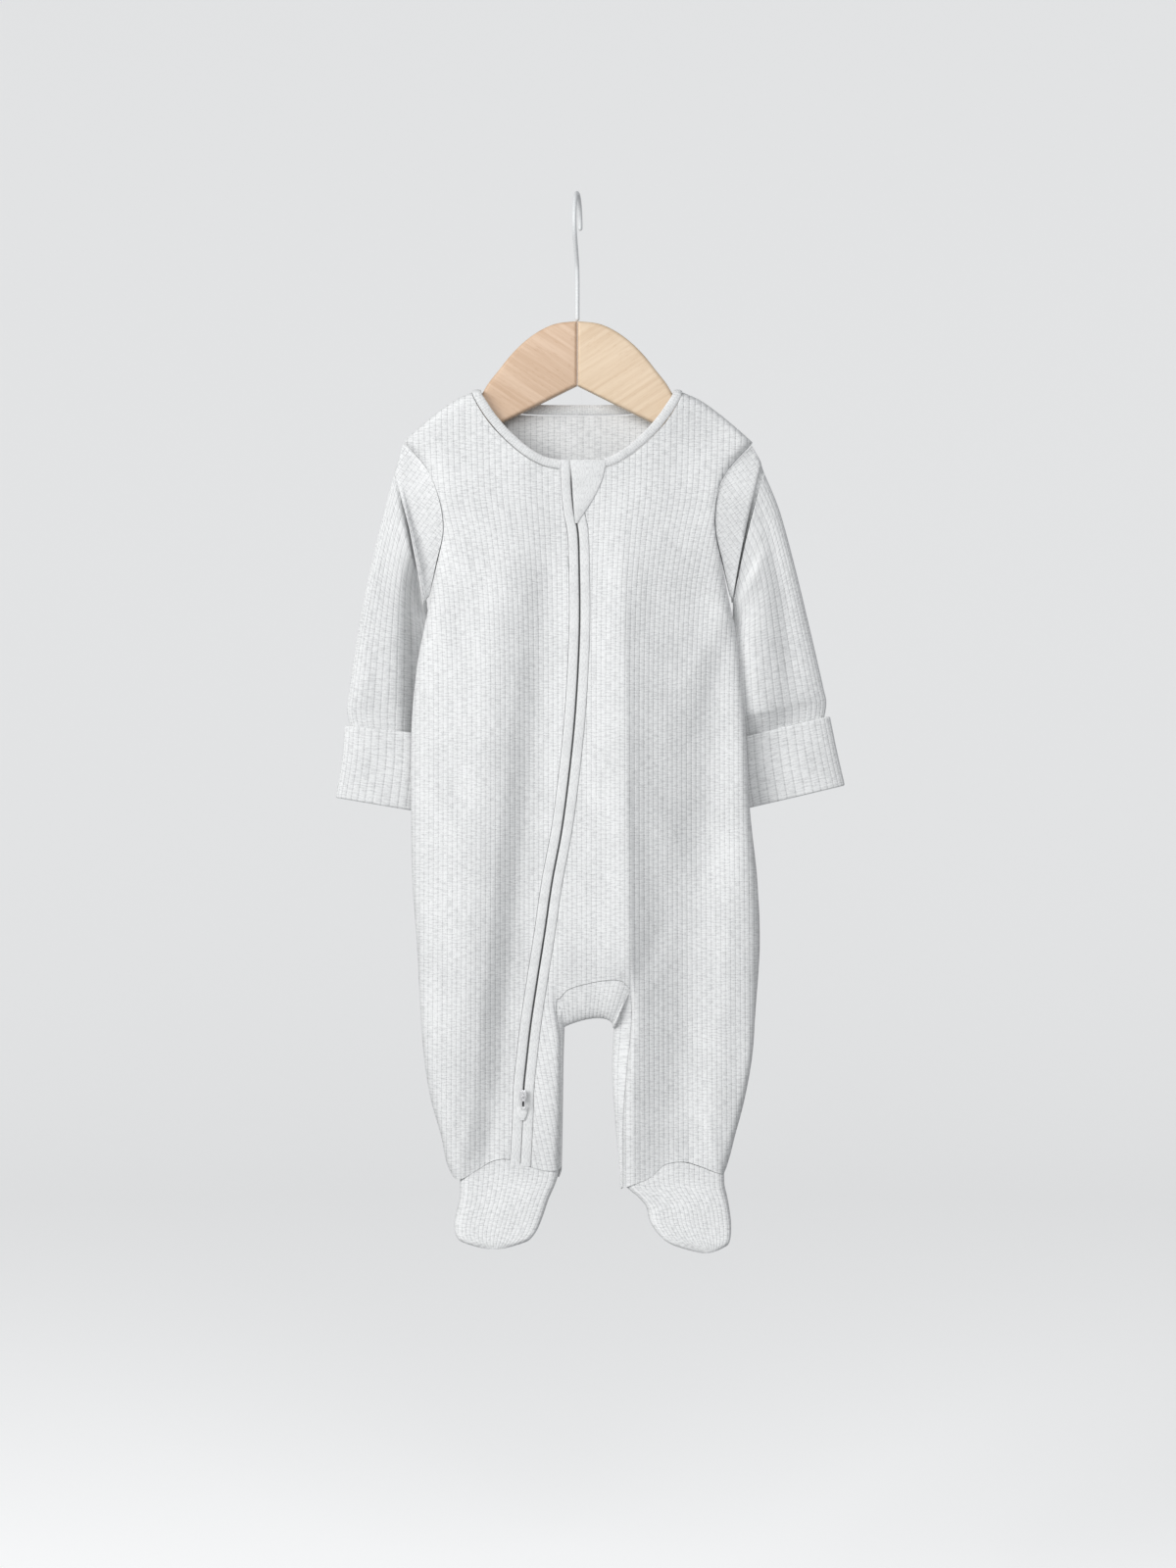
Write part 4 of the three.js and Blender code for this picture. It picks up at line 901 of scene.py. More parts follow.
def grid_normals(grid, closed):
    """Unit normals of a grid from its own neighbours; a closed grid repeats its first column."""
    across = np.gradient(grid, axis=1)
    if closed:
        across[:, 0] = across[:, -1] = (grid[:, 1] - grid[:, -2]) / 2
    return unit(np.cross(np.gradient(grid, axis=0), across))


gusset = piece("gusset_cloth", gusset_mesh(), "rib_knit", "gusset")

# The sleeves: set in at the armholes, with ribs that turn down at the fold of the cap.
# A sleeve is a tube of rings between its outer edge o and its inner edge i, bowed towards
# the body and dented in front. Ring 1 is the armhole seam, and ring 3 is the cap's fold.
SLEEVE_RIBS = 40
CAP_RINGS = 2
CAP_DENT = dict(at=0.6, over=0.4, stays=0)
ARM_DENT = dict(left=dict(at=0.7, over=0.1, stays=1), right=dict(at=0.66, over=0.22, stays=0))
CAP_LEAN = math.radians(54)
CAP_PITCH = 3
SLEEVE_LEFT = [
    dict(ox=-117, oz=-173, ix=-98.2, iz=-262.4, oy=0.4, iy=1.2, half=8, bow=1, fold=0),
    dict(ox=-119.4, oz=-181, ix=-99.4, iz=-266, oy=1.6, iy=5, half=9, bow=1.5, fold=8.5),
    dict(ox=-126, oz=-205, ix=-99.2, iz=-270, oy=2, iy=11, half=9.5, bow=0, fold=11),
    dict(ox=-134.6, oz=-240, ix=-97, iz=-277, oy=3.6, iy=18, half=9.2, bow=0, fold=11.5),
    dict(ox=-144, oz=-286, ix=-91, iz=-296, oy=7.6, iy=23, half=8.8, bow=0, fold=10.5),
    dict(ox=-149.8, oz=-325, ix=-87.6, iz=-331, oy=11.4, iy=24.4, half=8, bow=0, fold=8.5),
    dict(ox=-151, oz=-336.5, ix=-87.8, iz=-343, oy=12.6, iy=24.4, half=6.9, bow=0, fold=7),
    dict(ox=-148.2, oz=-350, ix=-90.6, iz=-356, oy=14, iy=23.8, half=5.4, bow=0, fold=5),
]
SLEEVE_RIGHT = [
    dict(ox=119.5, oz=-173, ix=101.2, iz=-262.4, oy=0.4, iy=1.2, half=8, bow=1, fold=0),
    dict(ox=122, oz=-181, ix=102, iz=-266, oy=1.6, iy=5, half=9, bow=1.5, fold=8.5),
    dict(ox=131.8, oz=-205, ix=102, iz=-271, oy=2, iy=8, half=9.5, bow=0, fold=-3),
    dict(ox=141.6, oz=-240, ix=101.6, iz=-280, oy=3.6, iy=9.5, half=9.2, bow=0, fold=-3),
    dict(ox=152, oz=-282, ix=97.6, iz=-299, oy=7.6, iy=10.5, half=8.6, bow=0, fold=-4),
    dict(ox=161, oz=-320, ix=97, iz=-336, oy=11.4, iy=13.5, half=8, bow=0, fold=-6),
    dict(ox=163.2, oz=-331, ix=98.4, iz=-346, oy=12.6, iy=18, half=6.9, bow=0, fold=-6),
    dict(ox=161.2, oz=-344.5, ix=101.4, iz=-359, oy=14, iy=23.8, half=5.4, bow=0, fold=-3),
]
RING_PLACES = np.concatenate(
    [
        np.arange(0, 1.8, 0.15),
        np.arange(1.8, 2.3, 0.025),
        np.arange(2.3, 3, 0.1),
        np.arange(3, 8.01, 0.12),
    ]
)
SLEEVE_FOLDS = {
    "left": [
        dict(ring=5.2, share=0.2, over_ring=0.9, over_share=0.16, deep=-1.2),
        dict(ring=6.3, share=0.42, over_ring=0.6, over_share=0.14, deep=1.3),
        dict(ring=6.7, share=0.16, over_ring=0.5, over_share=0.1, deep=1),
        dict(ring=7, share=0.66, over_ring=0.6, over_share=0.12, deep=-1),
    ],
    "right": [
        dict(ring=4.6, share=0.24, over_ring=1.4, over_share=0.1, deep=-1.6),
        dict(ring=5, share=0.46, over_ring=1.2, over_share=0.12, deep=0.9),
        dict(ring=6.4, share=0.3, over_ring=0.6, over_share=0.1, deep=-1.2),
        dict(ring=6.8, share=0.6, over_ring=0.5, over_share=0.12, deep=-1.1),
    ],
}


def rib_columns(ribs):
    """Every column's rib number, close together at the grooves."""
    return np.append((np.arange(ribs)[:, None] + np.array(RIB_PLACES)).ravel(), ribs)


def sleeve_ring(row, side, angles, dent):
    """One closed ring: down the front from the outer edge, then up the back."""
    outer = np.array([row["ox"], row["oy"], row["oz"]], float)
    inner = np.array([row["ix"], row["iy"], row["iz"]], float)
    line = inner - outer
    bow_way = unit(np.array([-line[2], 0, line[0]]))
    if bow_way[0] * (1 if side == "left" else -1) < 0:
        bow_way = -bow_way
    share = (1 - np.cos(angles)) / 2
    turn = np.sin(angles)
    depth = row["half"] * np.abs(turn) ** 0.8 * np.sign(turn)
    before = np.exp(-(((share - dent["at"]) / dent["over"]) ** 2))
    pressed = row["fold"] * np.where(share < dent["at"], before, np.maximum(before, dent["stays"]))
    pressed = np.minimum(pressed, np.maximum(2 * depth - 1.6, 0))
    ring = outer + line * share[:, None] + bow_way * (row["bow"] * turn**2)[:, None]
    ring[:, 1] += np.where(turn > 1e-9, pressed, 0) - depth
    return ring


def armhole_ring(side, angles):
    """The ring that lies along the armhole, just clear of the body's edges."""
    share = (1 - np.cos(angles)) / 2
    ring = np.empty((len(angles), 3))
    end = float(read(BODY, "z", SHOULDER_POINT_Z, side))
    for face, part in (("front", angles <= np.pi), ("back", angles > np.pi)):
        top = top_edge(face, np.array([end]))[0]
        z = mix(top - 2.2, UNDERARM_Z + 0.4, share[part])
        x = read(BODY, "z", z, side)
        clear = SEAM_GAP + 0.2 + 0.9 * share[part] ** 3 + 1.3 * (1 - share[part]) ** 8
        edge = on_body(face, x, z)
        edge[:, 0] += clear * (-1 if side == "left" else 1)
        edge[:, 1] *= 0.94
        ring[part] = edge
    return ring


def cap_fold(side, place):
    """How far the sleeve is pressed back: sharply under the right cap, softly into the left."""
    if side == "left":
        return mix(-0.8 * smooth(0.1, 1.9, place), 1.25, smooth(1.96, 2.08, place))
    return 1.5 * smooth(1.0, 1.92, place) * smooth(2.03, 1.95, place) + smooth(2.9, 3.2, place)


def sleeve_grid(side):
    """The sleeve's middle surface, ring by ring."""
    table = SLEEVE_LEFT if side == "left" else SLEEVE_RIGHT
    rows = [dict(row, place=k + 1) for k, row in enumerate(table)]
    angles = 2 * np.pi * rib_columns(SLEEVE_RIBS) / SLEEVE_RIBS
    share = (1 - np.cos(angles)) / 2
    rings = []
    for place in RING_PLACES:
        row = {key: float(read(rows, "place", max(place, 1), key)) for key in table[0]}
        row["fold"] *= cap_fold(side, place)
        cap = smooth(CAP_RINGS + 0.6, CAP_RINGS, place)
        dent = {key: float(mix(ARM_DENT[side][key], CAP_DENT[key], cap)) for key in CAP_DENT}
        ring = sleeve_ring(row, side, angles, dent)
        if place < 1:
            ring = mix(armhole_ring(side, angles), ring, place)
        for fold in SLEEVE_FOLDS[side]:
            near = ((place + 1 - fold["ring"]) / fold["over_ring"]) ** 2
            near = near + ((share - fold["share"]) / fold["over_share"]) ** 2
            ring[:, 1] -= np.where(np.sin(angles) > 1e-9, fold["deep"] * np.exp(-near), 0)
        ring[-1] = ring[0]
        rings.append(ring)
    return np.array(rings)


def tube(name, rings, wall, side, material, rounded=False, cap=0):
    """A ribbed tube with a plain inside, whose two ends may be rounded like a fold.

    The front of its first cap rows is mapped with ribs that lean down and outwards."""
    rib = rib_columns(SLEEVE_RIBS)
    if side == "right":
        rings, rib = rings[:, ::-1], rib[::-1]
    normals = grid_normals(rings, closed=True)
    length = np.linalg.norm(np.diff(rings, axis=0), axis=-1).mean(axis=1)
    along = np.concatenate([[0], np.cumsum(length)])[:, None] / RIB_PITCH
    thick = np.ones(len(rings))
    if rounded:
        from_end = np.minimum(along[:, 0], along[-1, 0] - along[:, 0]) * RIB_PITCH
        thick = np.sqrt(1 - (1 - np.clip(from_end / (wall / 2), 0, 1)) ** 2)
    height = rib_profile(rib)[None, :] * thick[:, None]
    half = rings.shape[1] // 2
    front, back = slice(0, half + 1), slice(half, None)
    if side == "right":
        front, back = back, front
    height[:cap, front] = 0
    outer = rings + normals * (height - wall / 2 * (1 - thick[:, None]))[..., None]
    inner = rings - normals * (wall / 2 * (1 + thick[:, None]))[..., None]
    cloth = Cloth()
    outer, inner = mapped(outer, rib, along), mapped(inner, rib, along)[:, ::RIB_POINTS]
    sign = -1 if side == "left" else 1
    leaning = outer[: cap + 1, front].copy()
    outwards, down = sign * leaning[..., 0], -leaning[..., 2]
    leaning[..., 3] = (outwards * math.sin(CAP_LEAN) - down * math.cos(CAP_LEAN)) / CAP_PITCH
    leaning[..., 4] = (outwards * math.cos(CAP_LEAN) + down * math.sin(CAP_LEAN)) / CAP_PITCH
    if cap:
        cloth.face(leaning)
    cloth.face(outer[cap:, front])
    cloth.face(outer[:, back])
    cloth.face(inner, outwards=False)
    cloth.strip(outer[0], inner[0])
    cloth.strip(outer[-1][::-1], inner[-1][::-1])
    return cloth.mesh(name, material)


for side, wearer in (("left", "right"), ("right", "left")):
    name = f"{wearer}_sleeve_cloth"
    cap = int(np.sum(RING_PLACES < CAP_RINGS + 0.01))
    mesh = tube(name, sleeve_grid(side), KNIT_WALL, side, rib_knit, cap=cap)
    sleeve = piece(name, mesh, "rib_knit", f"sleeve_{wearer}")

# The cuffs: turned back over the sleeve ends to close into mittens, so both their ends
# are folds and the cloth is double.
CUFF_WALL = 2.2
CUFF_DENT = dict(left=dict(at=0.9, over=0.13, stays=1), right=dict(at=0.74, over=0.16, stays=0))
CUFF_LEFT = [
    dict(ox=-152.6, oz=-345.6, ix=-86, iz=-352.6, oy=13.4, iy=24.4, half=10, bow=0, fold=6),
    dict(ox=-154.5, oz=-368, ix=-86, iz=-378, oy=13.8, iy=24.6, half=9.4, bow=0, fold=5),
    dict(ox=-158.6, oz=-393, ix=-88.5, iz=-405, oy=14.4, iy=24.4, half=8, bow=0, fold=4),
]
CUFF_RIGHT = [
    dict(ox=165.6, oz=-339.5, ix=96.5, iz=-356, oy=13.4, iy=24.4, half=10, bow=0, fold=-4),
    dict(ox=170, oz=-361, ix=97.5, iz=-380, oy=13.8, iy=24.6, half=9.4, bow=0, fold=-3),
    dict(ox=175.5, oz=-385, ix=100, iz=-403, oy=14.4, iy=24.4, half=8, bow=0, fold=-1),
]
CUFF_SHARES = [0, 0.004, 0.012, 0.024, *np.linspace(0.05, 0.95, 13), 0.976, 0.988, 0.996, 1]

for side, wearer in (("left", "right"), ("right", "left")):
    table = CUFF_LEFT if side == "left" else CUFF_RIGHT
    rows = [dict(row, place=k / (len(table) - 1)) for k, row in enumerate(table)]
    angles = 2 * np.pi * rib_columns(SLEEVE_RIBS) / SLEEVE_RIBS
    rings = []
    for place in CUFF_SHARES:
        row = {key: float(read(rows, "place", place, key)) for key in table[0]}
        ring = sleeve_ring(row, side, angles, CUFF_DENT[side])
        ring[-1] = ring[0]
        rings.append(ring)
    name = f"{wearer}_cuff_cloth"
    mesh = tube(name, np.array(rings), CUFF_WALL, side, rib_knit, rounded=True)
    cuff = piece(name, mesh, "rib_knit", f"cuff_{wearer}")

# The feet: a ribbed upper sewn to the leg along a curved seam, and a plain sole behind it.
# The toes turn forwards. Each row gives a foot's side edges, middle plane and rises.
FOOT_RIBS = 20
FOOT_SEAM_HALF = 0.45
FOOT_SHARES = np.array([*np.linspace(0, 0.84, 20), 0.88, 0.92, 0.95, 0.97, 0.985, 0.995, 1])
TOE_ROUND = 0.1
FOOT_LEFT = [
    dict(z=-628, left=-76, right=-11, y=0, upper=12, sole=12),
    dict(z=-641, left=-76.6, right=-13, y=-1.5, upper=12.6, sole=13.2),
    dict(z=-654, left=-76.8, right=-18.6, y=-8, upper=13, sole=15),
    dict(z=-664, left=-79, right=-22.2, y=-16, upper=12.5, sole=13.5),
    dict(z=-673, left=-79.2, right=-26.5, y=-25.5, upper=10, sole=9.5),
    dict(z=-679, left=-74.8, right=-32.5, y=-33, upper=6.5, sole=5.5),
    dict(z=-683, left=-66, right=-41, y=-38.5, upper=2.6, sole=2.2),
]

FOOT_RIGHT = [
    dict(z=-630, left=30, right=96, y=0, upper=12, sole=12),
    dict(z=-645, left=31, right=96, y=-2.5, upper=12.8, sole=13.6),
    dict(z=-652, left=39, right=97.5, y=-7, upper=13, sole=15),
    dict(z=-658, left=44.4, right=98.6, y=-11, upper=13, sole=14.4),
    dict(z=-668, left=47.4, right=99.6, y=-20, upper=11.8, sole=12),
    dict(z=-677.5, left=56, right=98.6, y=-31, upper=8, sole=7),
    dict(z=-683, left=67, right=95, y=-37.5, upper=4, sole=3.4),
    dict(z=-685.4, left=76, right=90, y=-40, upper=2.4, sole=2),
]

plain_knit = knit("plain_knit", PALE_MARL, DEEP_MARL_AND_GROOVE_SHADE, groove=0.0, wales=4)


def foot_mesh(name, side, part, material):
    table = FOOT_LEFT if side == "left" else FOOT_RIGHT
    vamp = VAMP_LEFT if side == "left" else VAMP_RIGHT
    front = part == "upper"
    across = rib_columns(FOOT_RIBS) / FOOT_RIBS

    def foot_x(z):
        return mix(read(table, "z", z, "left"), read(table, "z", z, "right"), across)

    top = np.full(across.size, HEEL_SEAM_Z - VAMP_GAP)
    if front:
        for _ in range(8):
            top = read(vamp, "x", foot_x(top), "z") - VAMP_GAP
    end = table[-1]["z"] + 5 * np.abs(2 * across - 1) ** 3
    z = np.array([mix(top, end, share) for share in FOOT_SHARES])
    x = foot_x(z)
    toe = np.clip((FOOT_SHARES[:, None] - 1 + TOE_ROUND) / TOE_ROUND, 0, 1)
    rise = read(table, "z", z, part) * lens(2 * across - 1) * np.sqrt(1 - 0.9 * toe**2)
    side_y = -1 if front else 1
    seam_y = read(table, "z", z, "y")
    grid = np.stack([x, seam_y + side_y * (rise + FOOT_SEAM_HALF), z], axis=-1)
    normals = grid_normals(grid, closed=False) * (1 if front else -1)
    rib = across * FOOT_RIBS
    seam_fade = np.clip(lens(2 * across - 1) * 1.6, 0, 1)
    height = rib_profile(rib) * seam_fade if front else np.zeros(across.size)
    outer = grid + normals * height[None, :, None]
    inner = grid - normals * KNIT_WALL
    inner[..., 1] = seam_y + side_y * np.maximum(side_y * (inner[..., 1] - seam_y), FOOT_SEAM_HALF)
    outer = mapped(outer, rib, -z / RIB_PITCH)
    inner = mapped(inner, rib, -z / RIB_PITCH)[:, ::RIB_POINTS]
    if not front:
        outer, inner = outer[:, ::-1], inner[:, ::-1]
    cloth = Cloth()
    cloth.wall(outer, inner, {"top", "bottom", "left", "right"})
    return cloth.mesh(name, material)


for side, wearer in (("left", "right"), ("right", "left")):
    name = f"{wearer}_foot_upper_cloth"
    upper = piece(name, foot_mesh(name, side, "upper", rib_knit), "rib_knit", f"foot_upper_{wearer}")
    name = f"{wearer}_foot_sole_cloth"
    sole = piece(name, foot_mesh(name, side, "sole", plain_knit), "plain_knit", f"foot_sole_{wearer}")

# The neck binding: a strip of fine one-by-one rib folded over the neck's raw edge, open at
# the zip, and held by a row of coverstitch on the panels just outside it.
BINDING_HALF = 1
BINDING_STEPS = 60
BINDING_ENDS = dict(left=11.1, right=18.7)
BINDING_SEAM_CLEAR = 0.3
BINDING_RISE = [
    dict(x=0, front=6, back=6.6, inwards=0),
    dict(x=24, front=5.4, back=6.6, inwards=2),
    dict(x=36, front=4.8, back=6.4, inwards=3.2),
    dict(x=49, front=4, back=5.6, inwards=4.4),
    dict(x=58, front=3.4, back=4.6, inwards=5),
    dict(x=64, front=3, back=3.4, inwards=5.2),
    dict(x=68.5, front=0.4, back=0.4, inwards=5.8),
]


def strip_mesh(name, first, second, inwards, outwards, material, crown=1.2, pitch=1.6):
    """A soft strip between two edge lines: flat behind, rounded in front and at its edges."""
    across = np.linspace(0, 1, 13)
    turn = np.pi * across
    profile = np.sin(turn) ** (1 / crown)
    along = np.gradient(first, axis=0)
    normals = unit(np.cross(along, second - first))
    length = np.concatenate([[0], np.cumsum(np.linalg.norm(np.diff(first, axis=0), axis=1))])
    front = mix(first[:, None], second[:, None], across[None, :, None])
    front = front + normals[:, None] * (outwards * profile)[None, :, None]
    under = -inwards * np.sin(turn) ** 0.4
    behind = (
        mix(first[:, None], second[:, None], across[None, :, None])
        + normals[:, None] * under[None, :, None]
    )
    ring = np.concatenate([front, behind[:, ::-1][:, 1:]], axis=1)
    place = (
        np.concatenate([across, across[::-1][1:]])
        * np.linalg.norm(second - first, axis=1).mean()
    )
    cloth = Cloth()
    grid = mapped(ring, length[:, None] / pitch, place[None, :] / pitch)
    cloth.face(grid)
    for end, turned in ((grid[0], False), (grid[-1], True)):
        half = len(across)
        one, two = end[:half], end[half - 1 :][::-1]
        cloth.strip(two, one) if turned else cloth.strip(one, two)
    return cloth.mesh(name, material)


def binding_edges():
    """The line that the binding is sewn on, and its free folded edge, all round the neck."""
    shares = np.sin(np.pi / 2 * np.arange(BINDING_STEPS) / BINDING_STEPS)
    runs = [(-1, mix(BINDING_ENDS["left"], HALF_NECK, shares), "front")]
    runs += [(-1, HALF_NECK * shares[::-1], "back"), (1, HALF_NECK * shares[1:], "back")]
    runs += [(1, mix(BINDING_ENDS["right"], HALF_NECK, shares[::-1]), "front")]
    sewn, free = [], []
    for sign, reach, face in runs:
        height = read(NECKLINE, "x", reach, face)
        seam = on_body(face, sign * reach, height, -KNIT_WALL / 2)
        slope = (read(NECKLINE, "x", reach + 1, face) - read(NECKLINE, "x", reach - 1, face)) / 2
        seam[:, 2] += (SEAM_GAP + BINDING_SEAM_CLEAR) * np.sqrt(1 + np.minimum(slope**2, 1.5))
        edge = seam.copy()
        edge[:, 0] -= sign * read(BINDING_RISE, "x", reach, "inwards")
        edge[:, 2] += read(BINDING_RISE, "x", reach, face)
        sewn.append(seam)
        free.append(edge)
    return np.concatenate(sewn), np.concatenate(free)


# Its rib grooves carry painted shade as well, at groove 0.3.
trim_knit = knit("trim_knit", PALE_MARL, DEEP_MARL_AND_GROOVE_SHADE, groove=0.3, wales=1, ribbed=2.5)
sewn_line, free_line = binding_edges()
binding_mesh = strip_mesh(
    "neck_binding_cloth", free_line, sewn_line, BINDING_HALF, BINDING_HALF, trim_knit, crown=2.2
)
binding = piece("neck_binding_cloth", binding_mesh, "trim_knit", "neck_binding")

# The coverstitch: one faint row of short stitches in pale thread round the neck, just
# outside the binding. Each stitch is a bead that lies along the row, sunk into the knit.
STITCH_OUTSIDE = 3.6


def bead_tree():
    """Sets beads of one size along a line of edges, each turned to the line's own way."""
    tree = bpy.data.node_groups.new("beads_along_line", "GeometryNodeTree")
    sockets = {}
    for name, kind in (
        ("Line", "NodeSocketGeometry"),
        ("Spacing", "NodeSocketFloat"),
        ("Bead Size", "NodeSocketVector"),
        ("Material", "NodeSocketMaterial"),
    ):
        sockets[name] = tree.interface.new_socket(name, in_out="INPUT", socket_type=kind).identifier
    tree.interface.new_socket("Beads", in_out="OUTPUT", socket_type="NodeSocketGeometry")

    def node(kind, settings=None, **inputs):
        made = tree.nodes.new(kind)
        for key, value in (settings or {}).items():
            setattr(made, key, value)
        for key, value in inputs.items():
            socket = made.inputs[key.replace("_", " ")]
            if isinstance(value, bpy.types.NodeSocket):
                tree.links.new(value, socket)
            else:
                socket.default_value = value
        return made.outputs[0] if len(made.outputs) else made

    given = tree.nodes.new("NodeGroupInput").outputs
    curve = node("GeometryNodeMeshToCurve", Mesh=given["Line"])
    spaced = node("GeometryNodeResampleCurve", {"mode": "LENGTH"}, Curve=curve, Length=given["Spacing"])
    turned = node("FunctionNodeAlignRotationToVector", {"axis": "Z"}, Vector=node("GeometryNodeInputTangent"))
    bead = node("GeometryNodeMeshUVSphere", Segments=8, Rings=5, Radius=1.0)
    smooth_bead = node("GeometryNodeSetShadeSmooth", Geometry=bead)
    placed = node(
        "GeometryNodeInstanceOnPoints",
        Points=spaced, Instance=smooth_bead, Rotation=turned, Scale=given["Bead Size"],
    )
    real = node("GeometryNodeRealizeInstances", Geometry=placed)
    done = node("GeometryNodeSetMaterial", Geometry=real, Material=given["Material"])
    tree.links.new(done, tree.nodes.new("NodeGroupOutput").inputs["Beads"])
    return tree, sockets


BEADS, BEAD_SOCKETS = bead_tree()


def beads(name, line, spacing, size, material):
    """The mesh of beads along a line: size is half their width, height and length."""
    path = bpy.data.meshes.new(f"{name}_line")
    path.from_pydata((line * MM).tolist(), [(k, k + 1) for k in range(len(line) - 1)], [])
    holder = bpy.data.objects.new(f"{name}_line", path)
    scene.collection.objects.link(holder)
    modifier = holder.modifiers.new("beads", "NODES")
    modifier.node_group = BEADS
    modifier[BEAD_SOCKETS["Spacing"]] = spacing * MM
    modifier[BEAD_SOCKETS["Bead Size"]] = [part * MM for part in size]
    modifier[BEAD_SOCKETS["Material"]] = material
    bpy.context.view_layer.update()
    evaluated = holder.evaluated_get(bpy.context.evaluated_depsgraph_get())
    mesh = bpy.data.meshes.new_from_object(evaluated)
    holder.modifiers.remove(modifier)
    bpy.data.objects.remove(holder)
    mesh.name = name
    return mesh


def thread(name, colour):
    """Spun sewing thread: matt, with a fine twist."""
    finish = Finish(name, roughness=0.8, specular_ior_level=0.2)
    place = finish.node("ShaderNodeTexCoord", output=3)
    twist = finish.noise(place, 2600).step(0.3, 0.7)
    finish.set(base_color=finish.blend(twist, colour, tuple(0.8 * part for part in colour)))
    finish.bump(twist, 0.00004)
    return finish.material


pale_thread = thread("pale_thread", (0.77, 0.78, 0.785))


def neck_stitch_line(face, sign, near_x):
    """The row's points on one half of a face, outside the binding by STITCH_OUTSIDE."""
    reach = np.linspace(near_x, HALF_NECK - 3, 120)
    slope = (read(NECKLINE, "x", reach + 1, face) - read(NECKLINE, "x", reach - 1, face)) / 2
    lean = np.sqrt(1 + slope**2)
    x = reach + STITCH_OUTSIDE * slope / lean
    z = read(NECKLINE, "x", reach, face) - STITCH_OUTSIDE / lean
    return on_body(face, sign * x, z, RIB_HEIGHT * 0.85)


stitch_runs = [
    neck_stitch_line("front", -1, 13.6),
    neck_stitch_line("front", 1, 20.4),
    np.concatenate([neck_stitch_line("back", -1, 0)[::-1], neck_stitch_line("back", 1, 0)[1:]]),
]
for place, run in zip(("right_front", "left_front", "back"), stitch_runs):
    name = f"neck_coverstitch_{place}"
    piece(name, beads(name, run, 2.3, (0.2, 0.16, 0.85), pale_thread), "trim_knit")

# The zip: a grey nylon coil between two facings, each a folded strip of the trim that
# covers its half of the tape from the neck down to the ankle.
NECK_END_Z = -173.4
FACING_END_Z = dict(right=-631, left=-633.2)
FACING_INNER = 0.6
FACING_CLOSED = 0.16
FACING_OUTER = 6.65
FACING_INWARDS = 1.3
FACING_PROUD = 0.6
COIL_TOP_Z = -214
COIL_END_Z = -582
COIL_PITCH = 1.15
COIL_HALF = 0.48


def zip_line(heights, offset, proud=0.0):
    return on_body("front", beside_zip(heights, offset), heights, proud)


for wearer, sign in (("right", -1), ("left", 1)):
    heights = np.arange(NECK_END_Z, FACING_END_Z[wearer], -1.0)
    inner_edge = mix(FACING_INNER, FACING_CLOSED, smooth(-594, -601, heights))
    edges = [zip_line(heights, sign * inner_edge), zip_line(heights, sign * FACING_OUTER)]
    first, second = edges[::sign]
    name = f"{wearer}_zip_facing_cloth"
    mesh = strip_mesh(name, first, second, FACING_INWARDS, FACING_PROUD, plain_knit, crown=2.6)
    facing = piece(name, mesh, "trim_knit", f"zip_facing_{wearer}")


def plastic(name, colour, rough):
    """Moulded or drawn plastic with a slightly uneven gloss."""
    finish = Finish(name, base_color=(*colour, 1))
    place = finish.node("ShaderNodeTexCoord", output=3)
    cloudy = finish.noise(place, 900)
    finish.set(base_color=finish.blend(cloudy, colour, tuple(0.7 * part for part in colour)))
    finish.set(roughness=rough + 0.15 * cloudy)
    finish.bump(cloudy, 0.00003)
    return finish.material


coil_grey = plastic("coil_grey", (0.035, 0.036, 0.038), 0.5)
coil_heights = np.arange(COIL_TOP_Z, COIL_END_Z, -0.8)
tape_mesh = strip_mesh(
    "zip_coil_tape", zip_line(coil_heights, -COIL_HALF), zip_line(coil_heights, COIL_HALF), 1.4, 0.0, coil_grey
)
piece("zip_coil_tape", tape_mesh, "zip_coil", "zip_coil")
teeth = beads(
    "zip_coil_teeth", zip_line(coil_heights, 0, -0.25), COIL_PITCH, (COIL_HALF, 0.4, 0.42), coil_grey
)
piece("zip_coil_teeth", teeth, "zip_coil")

# The slider and its pull: nickel-plated zinc, with a long open loop that hangs from a
# small bridge. The slider stays at the lower end of the closed zip.
WIRE_SIDES = 16


def wire(name, line, radius, material, closed=False, sides=WIRE_SIDES):
    """A round wire along a line in millimetres, closed in a loop or with rounded ends."""
    ends = np.roll(line, -1, 0) - np.roll(line, 1, 0) if closed else np.gradient(line, axis=0)
    tangents = unit(ends)
    side = np.array([1.0, 0, 0]) if abs(tangents[0][0]) < 0.8 else np.array([0, 0, 1.0])
    rings = []
    for k, tangent in enumerate(tangents):
        side = unit(side - tangent * (side @ tangent))
        other = np.cross(tangent, side)
        turns = 2 * np.pi * np.arange(sides + 1) / sides
        circle = np.cos(turns)[:, None] * side + np.sin(turns)[:, None] * other
        rings.append(line[k] + radius * circle)
    rings = np.array(rings)
    if closed:
        rings = np.concatenate([rings, rings[:1]])
    else:
        steps = np.linspace(0, np.pi / 2, 6)[1:]
        first = [
            line[0] + (rings[0] - line[0]) * np.cos(a) - tangents[0] * radius * np.sin(a)
            for a in steps
        ]
        last = [
            line[-1] + (rings[-1] - line[-1]) * np.cos(a) + tangents[-1] * radius * np.sin(a)
            for a in steps
        ]
        rings = np.concatenate([first[::-1], rings, last])
    rings[:, -1] = rings[:, 0]
    length = np.concatenate(
        [[0], np.cumsum(np.linalg.norm(np.diff(rings.mean(axis=1), axis=0), axis=1))]
    )
    cloth = Cloth()
    turn = np.linspace(0, 1, sides + 1)[None, :]
    cloth.face(mapped(rings, turn, length[:, None] / 10), outwards=False)
    return cloth.mesh(name, material)


